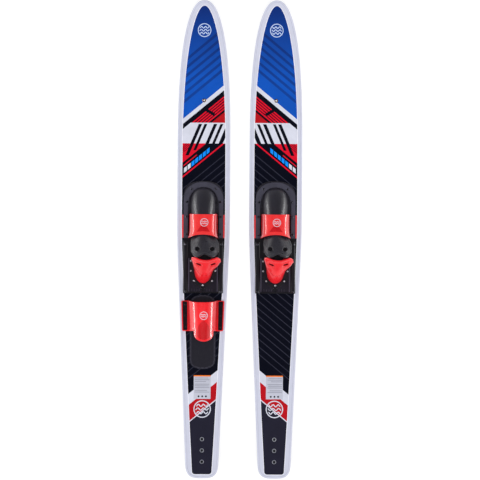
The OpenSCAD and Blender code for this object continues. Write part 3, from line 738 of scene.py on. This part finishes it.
def paint(bm, areas, names, flip=False):
    """Gives the faces in each area that ink's index. flip mirrors the areas across the ski."""
    for name, poly in areas:
        if len(poly) < 3:
            continue
        if flip:
            poly = [(-x, y) for x, y in poly]
        if sum(a[0] * b[1] - b[0] * a[1] for a, b in zip(poly, poly[1:] + poly[:1])) < 0:
            poly = poly[::-1]
        for f in inside_of(bm, poly):
            f.material_index = names.index(name)


def drop_faces(bm, unwanted):
    bmesh.ops.delete(bm, geom=[f for f in bm.faces if unwanted(f.material_index)], context="FACES")


def split_inks(bm, names, lift, normal, stem, side, node=None, looks=INKS):
    """One object per ink from a flat painted bmesh, lifted on to its surface, with that surface's own normals."""
    for index, name in enumerate(names):
        piece = bm.copy()
        drop_faces(piece, lambda painted: painted != index)
        if not piece.faces:
            piece.free()
            continue
        piece.normal_update()
        bmesh.ops.reverse_faces(piece, faces=[f for f in piece.faces if f.normal.z < 0])
        for f in piece.faces:
            f.material_index = 0
            f.smooth = True
        for v in piece.verts:
            v.co.z = lift(v.co.x, v.co.y)
        ob = make(stem + "_" + name, piece, looks[name], side)
        ob.data.normals_split_custom_set_from_vertices([normal(v.co.x / MM, v.co.y / MM) for v in ob.data.vertices])
    bm.free()
    if node:
        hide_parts(side + "_" + node)


def deck_normal(x, y):
    return Vector((0, top_z(y - 1) - top_z(y + 1), 2)).normalized()


def deck_sheet(side):
    ys = [SHEET_FROM + 10 * (1 - math.cos(math.radians(9 * i))) for i in range(11)]
    ys += [30 + 14 * i for i in range(113)]
    tip = SHEET_TO - ys[-1]
    ys += [ys[-1] + tip * math.sin(math.radians(90 * i / 26)) for i in range(1, 26)]
    ys.append(SHEET_TO - 0.05)
    right = [(max(sheet_half(y), 0.05), y) for y in ys]
    bm = bmesh.new()
    rows = [(bm.verts.new((-x, y, 0)), bm.verts.new((x, y, 0))) for x, y in right]
    for a, b in zip(rows, rows[1:]):
        loop_faces(bm, a, b, close=False)
    names = list(INKS)
    paint(bm, deck_areas(), names, side == "right")
    fin_holes = [(FIN_AT + k * FIN_PITCH, 7.45) for k in (-1, 0, 1)]
    for y, r in ((TIE_AT, 5.0), *fin_holes):
        for f in inside_of(bm, circle(0, y, r, 24)):
            f.material_index = len(names)
    drop_faces(bm, lambda painted: painted == len(names))
    split_inks(bm, names, lambda x, y: top_z(y) + SHEET_T, deck_normal, "deck", side, "deck_sheet")
    # the sheet's cut edge, and the raised lip of the rim round it
    right = [(sheet_half(y), y) for y in ys]
    line = right + [(-x, y) for x, y in reversed(right)]
    edge = bmesh.new()
    up = [edge.verts.new((x, y, top_z(y) + SHEET_T)) for x, y in line]
    down = [edge.verts.new((x * 1.004, y, top_z(y) - 0.1)) for x, y in line]
    loop_faces(edge, up, down)
    smooth(make("deck_edge", outward_faces(edge), INKS["grey"], side))
    lip = [(x * (1 + 0.9 / max(abs(x), 6)), y, top_z(y) + 0.15) for x, y in line]
    smooth(make("deck_lip", tube(lip, 1.25, closed=True, squash=0.8), INKS["bright"], side))


# ---------------------------------------------------------------- the ski blade
def ski_outline():
    """The ski's outline on the right, from tail to nose, close together where it turns."""
    pts = []
    for i in range(25):
        a = math.pi / 2 * i / 24
        y = CORNER_Y * (1 - math.cos(a) ** (2 / CORNER_N))
        pts.append((body_half(y) * math.sin(a) ** (2 / CORNER_N), y))
    pts += [(half(y), y) for y in range(70, 1150, 18)]
    for i in range(49):
        a = math.pi / 2 * i / 48
        y = NOSE_FROM + (SKI_LEN - NOSE_FROM) * math.sin(a) ** (2 / NOSE_N)
        x = body_half(y) * max(math.cos(a), 0) ** (2 / NOSE_M)
        if y > pts[-1][1] + 1e-6:
            pts.append((x if i < 48 else 0.0, y))
    return pts


def rim_profile():
    """The rim's section from the base to the deck: how far in, and how high as a share of the thickness."""
    low = [math.pi / 2 * k / 6 for k in range(7)]
    high = [math.pi / 2 * k / 8 for k in range(1, 9)]
    profile = [(BASE_INSET * (1 - math.sin(a)), WIDEST_AT * (1 - math.cos(a))) for a in low]
    for b in high:
        over = max(math.cos(b), 0) ** RIM_N
        profile.append((SHOULDER * (1 - over), WIDEST_AT + (1 - WIDEST_AT) * math.sin(b) ** RIM_N))
    return profile


def blade(side):
    right = ski_outline()
    loop = right + [(-x, y) for x, y in reversed(right[1:-1])]
    n, m = len(loop), len(right)
    normals = inward(loop)
    bm = bmesh.new()
    rings = []
    for d, h in rim_profile():
        ring = []
        for (x, y), o in zip(loop, normals):
            shrink = min(d, 0.85 * max(abs(x), 6.0)) if d else 0
            px, py = x + o.x * shrink, y + o.y * shrink
            ring.append(bm.verts.new((px, py, base_z(py) + thick(py) * h)))
        rings.append(ring)
    for a, b in zip(rings, rings[1:]):
        loop_faces(bm, a, b)
    # across the deck, and across the base with its shallow tunnel
    for ring, steps in ((rings[-1], ()), (rings[0], (-0.75, -0.45, -0.2, 0.0, 0.2, 0.45, 0.75))):
        rows = []
        for i in range(1, m - 1):
            a = ring[i].co.copy()
            deep = TUNNEL * ease((a.y - 190) / 90) * ease((1300 - a.y) / 260)
            across = [bm.verts.new((a.x * f, a.y, a.z + deep * clamp01(1.5 - 2 * abs(f)))) for f in steps]
            rows.append([ring[n - i], *across, ring[i]])
        for a, b in zip(rows, rows[1:]):
            loop_faces(bm, a, b, close=False)
        bm.faces.new([ring[0], *rows[0][::-1]])
        bm.faces.new([*rows[-1], ring[m - 1]])
    # a moulded bead runs round the rim, coloured darker than the shell: the darker colour is painted shade along
    # the bevel's edge
    rim_shade_line = [(x + o.x * 7, y + o.y * 7) for (x, y), o in zip(loop, normals)]
    line = tube([(x, y, top_z(y) - 0.1) for x, y in rim_shade_line], 0.6, closed=True)
    smooth(make("rim_bead_shade", line, INKS["rim_shade_line"], side))
    ob = make("blade", outward_faces(bm), SHELL, side)
    slant = math.atan(base_z(TIE_AT + 1) - base_z(TIE_AT))
    holes = [drill(0, TIE_AT, 4.5, top_z(TIE_AT) - 60, top_z(TIE_AT) + 60, slant)]
    top = top_z(FIN_AT)
    holes += [drill(0, FIN_AT + k * FIN_PITCH, 7.5, top - 3.2, top + 20) for k in (-1, 0, 1)]
    cut(ob, holes, side)
    finished(ob, side, "ski_body")


# ---------------------------------------------------------------- the front binding's rubber
def roof(y):
    return TOE_HEIGHT + 0.32 * (1000 - y)


def cap_row(y, r):
    a, h = mix(43.6, 46, ease((y - 925) / 40)) * r, roof(y) * r**0.8
    return [(x, y, PLATE_Z + z) for x, z in arch(a, h, 2.5, 72)]


def toe_cap(side):
    rows = [cap_row(CAP_FROM + 6 * i, 1.0) for i in range(12)]
    for i in range(29):
        a = math.radians(88.5) * i / 28
        y = CAP_ROLL + (CAP_TO - CAP_ROLL) * math.sin(a) ** (2 / CAP_N)
        rows.append(cap_row(y, math.cos(a) ** (2 / CAP_N)))
    outer = arched(BIND_HALF, BAND_TO + 5, PLATE_TO - 58, 58, 2.5)
    inner = [(x, y - 1) for x, y in arched(43, BAND_TO + 7, 960, 70, 2.8)]
    flange = slab(outer, PLATE_Z + 0.02, PLATE_Z + FLANGE_T, [inner])
    ob = make("toe_cap_rubber", joined([shell(rows, RUBBER), flange]), WEAVE, side)
    finished(ob, side, "toe_cap")


def normal_on(height):
    """The normal function of a surface that is given by its height."""
    def normal(x, y):
        dx, dy = height(x - 0.5, y) - height(x + 0.5, y), height(x, y - 0.5) - height(x, y + 0.5)
        return Vector((dx, dy, 1)).normalized()

    return normal


MARK_LOOKS = {"dark": DARK_RED, "white": INKS["white"]}


def rubber_mark(stem, side, grid, panel, ring_y, height):
    """A darker moulded panel, given as convex areas, and a plain ring with waves, on a red rubber face."""
    names = list(MARK_LOOKS)
    bm = flat_grid(*grid, 2.0)
    for f in bm.faces:
        f.material_index = len(names)
    areas = [("dark", p) for p in panel]
    areas += [("white", q) for q in emblem(4, ring_y, 14.5, 1.9, (-0.55, 0.55))]
    paint(bm, areas, names)
    drop_faces(bm, lambda painted: painted == len(names))
    lift = lambda x, y: height(x, y) + MARK_LIFT
    split_inks(bm, names, lift, normal_on(height), stem, side, looks=MARK_LOOKS)


def band_half(k):
    return 47.8 + 1.4 * k**3 + 5.2 * (1 - k) ** 4


def band_z(x, y):
    back = BAND_FROM + BAND_BOW
    k = clamp01((y - back) / (BAND_TO - BAND_LEAD - back))
    inside = max(1 - (abs(x) / band_half(k)) ** BAND_N, 0.0)
    return PLATE_Z + (roof(y) + BAND_OVER) * inside ** (1 / BAND_N)


def band_point(k, t):
    c = math.sin(t)
    y = mix(BAND_FROM + BAND_BOW * (1 - abs(math.cos(t))), BAND_TO - BAND_LEAD * c * c, k)
    z = PLATE_Z + (roof(y) + BAND_OVER) * spow(c, BAND_N)
    return band_half(k) * spow(math.cos(t), BAND_N), y, z


def instep_band(side):
    rows = [[band_point(k / 24, math.pi * i / 96) for i in range(97)] for k in range(25)]

    def lip(k, i):
        return 0.9 * (1 - ease(min(k, 1 - k) * (BAND_TO - BAND_FROM) / 4.5))

    parts, gap_shades = [shell(rows, BAND_T, lip)], []
    for s in (-1, 1):
        flange = rect(*sorted((s * 46, s * 75.5)), BAND_FROM, BAND_TO)
        parts.append(slab(flange, PLATE_Z + 0.02, PLATE_Z + FLANGE_T))
        # black strips over the red flange in the gaps between the band's walls and the frame's legs: painted shade
        gap_shade = rect(*sorted((s * 50, s * 54.8)), BAND_FROM + 0.5, BAND_TO - 0.5)
        gap_shades.append(slab(gap_shade, PLATE_Z + FLANGE_T - 0.1, PLATE_Z + FLANGE_T + 0.5))
    make("band_gap_shade", joined(gap_shades), SHADE_SHEET_MAT, side)
    ob = make("instep_band_rubber", joined(parts), BAND_RED_SHEEN, side)
    finished(ob, side, "instep_band")
    wedge = [[(1, 899), (-11, 890), (-23, 873), (0, 875)], [(1, 899), (0, 875), (25, 873), (13, 890)]]
    rubber_mark("band_mark", side, (-30, 32, 868, 932), wedge, 906.5, band_z)


def tongue_half(k):
    return mix(39, 49.5, ease(1.9 * (k - 0.2))) - 2 * k**4


def tongue_mid(k):
    return TONGUE_LEAN * ease(1.5 * (k - 0.12))


def tongue_z(y, s):
    f = (TONGUE_FROM - y) / (TONGUE_FROM - TONGUE_TO)
    return PLATE_Z + 77 + 46 * f + 8 * f * f - mix(33, 20.5, f) * abs(s) ** 2.2


def tongue_point(k, s):
    end = TONGUE_TO + 12 * math.exp(-((s / 0.38) ** 2)) + 20 * abs(s) ** 6
    y = mix(TONGUE_FROM, end, k)
    return s * tongue_half(k) + tongue_mid(k), y, tongue_z(y, s)


def tongue(side):
    rows = [[tongue_point(k / 36, s / 40) for s in range(-40, 41)] for k in range(37)]

    def lip(k, i):
        edge = min((1 - k) * 95, (1 - abs(2 * i - 1)) * 48)
        return 1.3 * (1 - ease(edge / 5.0))

    ob = make("tongue_rubber", shell(rows, RUBBER, lip), WEAVE, side)
    spots = [(TONGUE_LEAN + s * HOLE_AT, HOLE_Y) for s in (-1, 1)]
    cut(ob, [drill(x, y, HOLE_R, PLATE_Z + 40, PLATE_Z + 160) for x, y in spots], side)
    finished(ob, side, "tongue")
    # raised rings round the finger holes
    rings = []
    for spot in spots:
        ring = []
        for x, y in circle(*spot, HOLE_R + 1.2, 40):
            k = (TONGUE_FROM - y) / (TONGUE_FROM - TONGUE_TO - 1.5)
            ring.append((x, y, tongue_z(y, (x - tongue_mid(k)) / tongue_half(k)) + 0.2))
        rings.append(tube(ring, 1.5, closed=True))
    smooth(make("tongue_rings", joined(rings), WEAVE, side))


# ---------------------------------------------------------------- the heel
def heel_point(k, s):
    """The cup's outer face, from the slide (k 0) to the collar (k 1) and across from edge to edge (s -1 to 1)."""
    t = math.radians(90 * max(-1, min(1, s / 0.7)))
    e = max(0.0, (abs(s) - 0.7) / 0.3)
    low = (HEEL_A * math.sin(t), HEEL_MID - HEEL_B * math.cos(t) + e * 47)
    turned = clamp01((abs(s) - 0.72) / 0.28)
    high = (HEEL_LEAN + 49.5 * s, 770 + 17 * s * s - (7 if s < 0 else 12) * turned**2)
    f = k**1.25
    bulge = 3 * math.sin(math.pi * k) * (1 - e)
    ear = math.sin(math.pi * clamp01((k - 0.35) / 0.65) ** 1.1) * ease((abs(s) - 0.35) / 0.5)
    push = (12 * ear, -11 * ear) if s > 0 else (-5 * ear, -6 * ear)
    return (
        mix(low[0], high[0], f) + bulge * math.sin(t) + push[0],
        mix(low[1], high[1], f) - bulge * math.cos(t) + push[1],
        SLIDE_Z + HEEL_H * k * (1 - 0.06 * s * s * k - 0.1 * abs(s) ** 7 * k),
    )


def heel_u(a, b, y1):
    return [(a, y1)] + [(x, HEEL_MID - y) for x, y in arch(a, b, 2, 56)] + [(-a, y1)]


def finger_slot(x):
    """A finger slot's place in the cup, as k and s, and the long plug that cuts it, square to the wall."""
    z = SLIDE_Z + HEEL_H - SLOT_DOWN

    def miss(spot):
        px, _, pz = heel_point(*spot)
        return abs(px - x) + abs(pz - z)

    k, s = min(((k / 60, s / 60) for k in range(36, 61) for s in range(-60, 61)), key=miss)
    outline = [(math.copysign(5, math.cos(a)) + 4 * math.cos(a), 4 * math.sin(a)) for a in turns(32)]
    plug = slab(outline, -22, 22)
    place = Matrix.Translation(heel_point(k, s)) @ Matrix.Rotation(math.radians(40), 4, "X")
    place = place @ Matrix.Rotation(math.radians(14 if x > 0 else -14), 4, "Z")
    bmesh.ops.transform(plug, matrix=place, verts=plug.verts)
    return (k, s), outward_faces(plug)


def heel_cup(side):
    rows = [[heel_point(k / 40, s / 60) for s in range(60, -61, -1)] for k in range(41)]

    def lip(k, i):
        return 1.5 * (1 - ease((1 - k) * HEEL_H / 6.0)) + 0.8 * (1 - ease(k * HEEL_H / 5.0))

    def red(name, bm, mat=RED):
        return make(name, bm, mat, side, "heel")

    cup = red("heel_cup_rubber", shell(rows, RUBBER, lip))
    slots = [finger_slot(HEEL_LEAN + s * SLOT_AT) for s in (-1, 1)]
    cut(cup, [plug for _, plug in slots], side)
    finished(cup, side, "heel_cup")
    # the flange ends just inside the clamp that holds it
    ring = heel_u(46.6, 55.4, HEEL_FRONT) + heel_u(HEEL_A - 2, HEEL_B - 2, HEEL_FRONT)[::-1]
    red("heel_cup_flange", slab(ring, SLIDE_Z + 0.02, SLIDE_Z + FLANGE_T))
    # the rolled top edge, and a thin bead along the fold where the cup bends over the heel bone, in darker red as
    # painted shade in the fold
    top = [Vector(heel_point(0.985, i / 60)) + Vector((0, 0.6, 0)) for i in range(-59, 60)]
    smooth(red("heel_cup_roll", tube(top, 2.3)))
    fold = [heel_point(0.46 + 0.14 * (i / 34) ** 2, i / 60) for i in range(-34, 35)]
    smooth(red("heel_cup_fold_shade", tube(fold, 0.75), DARK_RED))
    for part, ((k, s), _) in zip("ab", slots):
        eye = [heel_point(k + 0.085 * math.sin(a), s + 0.24 * math.cos(a)) for a in turns(40)]
        smooth(red("heel_eye_" + part, tube(eye, 0.9, closed=True)))
    # a black sheet inside the cup shows through the finger slots: painted shade in the slots
    slot_shade_grid = [[Vector(p) for p in row[3:-3]] for row in rows[1:-1]]
    smooth(make("heel_slot_shade", shell(sunk(slot_shade_grid, RUBBER + 0.1), 0.8), SHADE_SHEET_MAT, side, "heel"))


def rib_highlight_caps(side):
    """Lighter caps on the tops of the slide's side ribs and of the small ribs at its back edge: a painted highlight
    where the rib tops catch the light, with random rubbed patches.
    """
    top = SLIDE_Z + 3.6
    caps = []
    for s in (-1, 1):
        across = sorted((s * (RIB_IN + 0.7), s * (RIB_OUT - 0.7)))
        caps.append(slab(rect(*across, SLIDE_FROM + 0.7, SLIDE_TO - 0.7), top - 0.2, top + 0.3))
    for x in range(-40, 41, 9):
        if abs(x) > 9:
            rib = rect(x - 0.7, x + 0.7, SLIDE_FROM + 1.6, SLIDE_FROM + 11.2)
            caps.append(slab(rib, SLIDE_Z + 1.0, SLIDE_Z + 1.4))
    make("slide_rib_highlights", joined(caps), RIB_HIGHLIGHT_MAT, side, "heel")


# ---------------------------------------------------------------- foam pads
def pad(name, outline, z0, t, side, node, body="ski"):
    """A foam pad: rounded top edge, a pressed line inside it, and a plain bevelled border."""
    edge = 1.6
    levels = [(0.0, 0.0), (0.0, 1 - edge / t)]
    levels += [(edge * (1 - math.cos(a)), 1 - edge * (1 - math.sin(a)) / t) for a in (0.4, 0.8, 1.2, math.pi / 2)]
    levels += [(5.0, 1.0), (6.2, 0.9), (9.0, 1.0)]
    bm = bmesh.new()
    rings = []
    for inset, h in levels:
        corners = zip(outline, inward(outline))
        rings.append([bm.verts.new((x + o.x * inset, y + o.y * inset, z0 + t * h)) for (x, y), o in corners])
    for a, b in zip(rings, rings[1:]):
        loop_faces(bm, a, b)
    bm.faces.new(rings[0])
    bm.faces.new(rings[-1])
    ob = make(name, outward_faces(bm), FOAM, side, body)
    ob.data.materials.append(FOAM_EDGE)
    for p in ob.data.polygons[: len(outline) * (len(levels) - 2)]:
        p.material_index = 1
    finished(ob, side, node)


# ---------------------------------------------------------------- the rear strap
def rear_back(x):
    """The strap's back edge, with its rounded tab."""
    u = abs(x - TAB_X) / TAB_HALF
    return REAR_FROM if u >= 1 else REAR_FROM - 12 - 25.5 * math.sqrt(1 - u * u)


def rear_front(c):
    return REAR_TO + 3 - REAR_BOW * c


def rear_n(f):
    return mix(1.8, 2.2, f)


def rear_z(f, rise):
    return DECK_Z + REAR_PAD_T + 0.1 + (REAR_H - REAR_DROP * (1 - f)) * rise


def tab_angle(x):
    return math.acos(math.copysign((abs(x) / REAR_HALF[0]) ** (rear_n(0) / 2), x))


def strap_z(x, y):
    """The strap's outer face over a place on the deck."""
    front = rear_front(math.sqrt(1 - clamp01((abs(x) / 51) ** 2)))
    f = clamp01((y - rear_back(x)) / (front - rear_back(x)))
    inside = max(1 - (abs(x) / mix(*REAR_HALF, f)) ** rear_n(f), 0.0)
    return rear_z(f, inside ** (1 / rear_n(f)))


def strap_point(f, t):
    c = math.sin(t)
    y = mix(rear_back(REAR_HALF[0] * spow(math.cos(t), rear_n(0))), rear_front(c), f)
    return mix(*REAR_HALF, f) * spow(math.cos(t), rear_n(f)), y, rear_z(f, spow(c, rear_n(f)))


def rear_strap(side):
    a0, a1 = tab_angle(TAB_X + TAB_HALF + 0.4), tab_angle(TAB_X - TAB_HALF - 0.4)
    angles = [a0 * i / 14 for i in range(15)]
    angles += [tab_angle(TAB_X + (TAB_HALF - 0.1) * math.cos(math.pi * i / 60)) for i in range(61)]
    angles += [mix(a1, math.pi, i / 14) for i in range(15)]
    rows = [[strap_point(k / 30, t) for t in angles] for k in range(31)]

    def lip(k, i):
        return 0.8 * (1 - ease(min(k, 1 - k) * 110 / 5.0))

    parts = [shell(rows, RUBBER, lip)]
    back, front, root = 73.0, 73.0 + (REAR_TO - REAR_FROM) * 0.033, 46.2
    for s in (-1, 1):
        pts = [(root, REAR_FROM - 2), (back - 3, REAR_FROM - 2), (back, REAR_FROM + 1)]
        pts += [(front, REAR_TO), (front - 3, REAR_TO + 3), (root, REAR_TO + 3)]
        parts.append(slab([(s * x, y) for x, y in pts[::s]], DECK_Z + 0.03, DECK_Z + REAR_PAD_T + FLANGE_T))
    ob = make("rear_strap_rubber", joined(parts), RED, side)
    finished(ob, side, "rear_strap")
    panel = [(4, 561), (-8, 551), (-15, 539), (-18, 528), (-20, 509), (-15, 499), (-7, 494), (4, 492)]
    panel += [(2 * TAB_X - x, y) for x, y in panel[-2:0:-1]]
    rubber_mark("strap_mark", side, (-24, 32, 484, 612), [panel], 577, strap_z)


# ---------------------------------------------------------------- the label
LABEL_LINES = ((355, 24), (349, 26), (343, 20), (333, 26), (327, 25), (321, 26), (311, 22), (305, 26))  # y, half


def label(side):
    names = ["label", "orange", "mid_grey", "black"]
    across = (-LABEL_HALF, LABEL_HALF)
    bm = flat_grid(*across, LABEL_FROM, LABEL_TO, 6.0)
    areas = [("label", rect(*across, LABEL_FROM, LABEL_TO)), ("orange", rect(*across, LABEL_TO - 7.5, LABEL_TO))]
    areas += [("mid_grey", rect(-27, -27 + 2 * w, y, y + 2.4)) for y, w in LABEL_LINES]
    areas += [("black", circle(x, 291, 3.4, 12)) for x in (-13, 0, 13)]
    paint(bm, areas, names, side == "right")
    lift = lambda x, y: top_z(y) + SHEET_T + MARK_LIFT
    split_inks(bm, names, lift, deck_normal, "care_label", side, "label")


# ---------------------------------------------------------------- build both skis
for side in ("left", "right"):
    blade(side)
    deck_sheet(side)
    label(side)
    toe_cap(side)
    instep_band(side)
    tongue(side)
    heel_cup(side)
    rib_highlight_caps(side)
    pad("foot_bed_foam", arched(39, 843, 960, 55, 2.4), PLATE_Z + 0.02, 4.98, side, "foot_bed")
    heel_pad = heel_u(HEEL_A - 5.5, HEEL_B - 7, 781)
    pad("heel_pad_foam", heel_pad, SLIDE_Z + 0.05, 4.0, side, "heel_pad", "heel")
pad("rear_pad_foam", capsule(45.5, 423, 617, 35, 2.3), DECK_Z + 0.02, REAR_PAD_T, "left", "rear_pad")
rear_strap("left")

SMALL = ("screws", "washers", "inserts", "pin", "eyelet", "lever")
for name, ob in frame["nodes"].items():
    look = CAD_LOOKS.get(name.split("_", 1)[1])
    if look is None or ob.hide_render:
        continue
    if not ob.material_slots:
        ob.data.materials.append(None)
    for s in ob.material_slots:
        s.link = "OBJECT"
        s.material = look
    rounded(ob, 0.25 if any(word in name for word in SMALL) else 0.6)

# ---------------------------------------------------------------- floor, light and camera
SKY_SIDES, SKY_ENDS, SKY_TOP, SKY_SOFT = 0.9, 0.2, 0.03, 0.5
SUN, SUN_LEAN, SUN_WIDTH, STRIP, PANEL = 1.7, 15.0, 50.0, 12.0, 125.0
LIGHT_OUT, LIGHT_LONG = 3.0, 4.0
FLOOR_SIZE, FLOOR_GREY, FLOOR_GLOW = 20.0, 0.45, 0.62
FRAME_MM, ROLL, AIM_OFF, AIM_Z = 1709.0, 0.37, 0.0023, 0.045
mid = (cad_lo + cad_hi) / 2


def lay_floor():
    mesh = bpy.data.meshes.new("floor")
    bm = bmesh.new()
    bmesh.ops.create_grid(bm, x_segments=8, y_segments=8, size=FLOOR_SIZE)
    bm.to_mesh(mesh)
    bm.free()
    floor = new_object("floor", mesh)
    floor.location = (mid.x, mid.y, cad_lo.z - 0.0005)
    white = bpy.data.materials.new("floor_white")
    white.use_nodes = True
    sockets = white.node_tree.nodes["Principled BSDF"].inputs
    sockets["Base Color"].default_value = (FLOOR_GREY, FLOOR_GREY, FLOOR_GREY, 1)
    sockets["Emission Color"].default_value = (1, 1, 1, 1)
    for name, value in (("Roughness", 0.9), ("Specular IOR Level", 0.0), ("Emission Strength", FLOOR_GLOW)):
        sockets[name].default_value = value
    mesh.materials.append(white)


lay_floor()
world = bpy.data.worlds.new("studio")
bpy.context.scene.world = world
world.use_nodes = True
wt = world.node_tree


def world_node(kind, *inputs, **values):
    """A node of the world, with its first sockets linked or set."""
    n = wt.nodes.new(kind)
    for k, v in values.items():
        setattr(n, k, v)
    for socket, value in zip(n.inputs, inputs):
        if isinstance(value, (int, float)):
            socket.default_value = value
        else:
            wt.links.new(value, socket)
    return n.outputs[0]


def step(value, lo, hi, to_lo, to_hi):
    return world_node("ShaderNodeMapRange", value, lo, hi, to_lo, to_hi, interpolation_type="SMOOTHSTEP")


# The gloss sees a sky that is dark overhead, where the decks look, bright low down on both sides and pale at the
# horizon. What it lights is lit evenly.
sep = wt.nodes.new("ShaderNodeSeparateXYZ")
wt.links.new(wt.nodes.new("ShaderNodeTexCoord").outputs["Generated"], sep.inputs[0])
aside = step(world_node("ShaderNodeMath", sep.outputs["X"], operation="ABSOLUTE"), 0.4, 0.8, SKY_ENDS, SKY_SIDES)
high = step(sep.outputs["Z"], 0.6, 0.8, 1.0, SKY_TOP)
low = step(sep.outputs["Z"], 0.06, 0.16, 1.0, 0.0)
sky = world_node("ShaderNodeMath", aside, high, operation="MULTIPLY")
sky = world_node("ShaderNodeMath", sky, low, operation="MAXIMUM")
lights = wt.nodes.new("ShaderNodeLightPath").outputs["Is Diffuse Ray"]
sky = world_node("ShaderNodeMapRange", lights, 0.0, 1.0, sky, SKY_SOFT)
wt.links.new(sky, wt.nodes["Background"].inputs["Color"])


def strip_light(name, side, up, tall, watts):
    """A long low softbox that faces the middle."""
    data = bpy.data.lights.new(name, "AREA")
    data.shape = "RECTANGLE"
    data.size, data.size_y = LIGHT_LONG, tall
    data.energy = watts
    ob = new_object(name, data)
    ob.location = (mid.x + side * LIGHT_OUT, mid.y, up)
    ob.rotation_euler = (mid - ob.location).to_track_quat("-Z", "Y").to_euler()
    return ob


# the strips only light, and the panels only show in the gloss
for s, end in ((-1, "left"), (1, "right")):
    strip_light("strip_" + end, s, 0.42, 0.3, STRIP).visible_glossy = False
    strip_light("panel_" + end, s, 0.5, 0.55, PANEL).visible_diffuse = False

# soft light from above that the glossy decks do not mirror
sun_data = bpy.data.lights.new("overhead", "SUN")
sun_data.energy, sun_data.angle = SUN, math.radians(SUN_WIDTH)
sun = new_object("overhead", sun_data)
sun.visible_glossy = False
sun.rotation_euler = (math.radians(SUN_LEAN), 0, 0)

camera = bpy.data.cameras.new("camera")
camera.lens, camera.sensor_width = 200.0, 36.0
camera.clip_start, camera.clip_end = 0.1, 100
cam = new_object("camera", camera)
away = FRAME_MM * MM * camera.lens / camera.sensor_width
cam.location = (mid.x + AIM_OFF, mid.y - AIM_OFF, cad_lo.z + AIM_Z + away)
cam.rotation_euler = (0, 0, math.radians(ROLL))
bpy.context.scene.camera = cam
bpy.context.scene.view_settings.view_transform = "Standard"

bpy.context.view_layer.update()
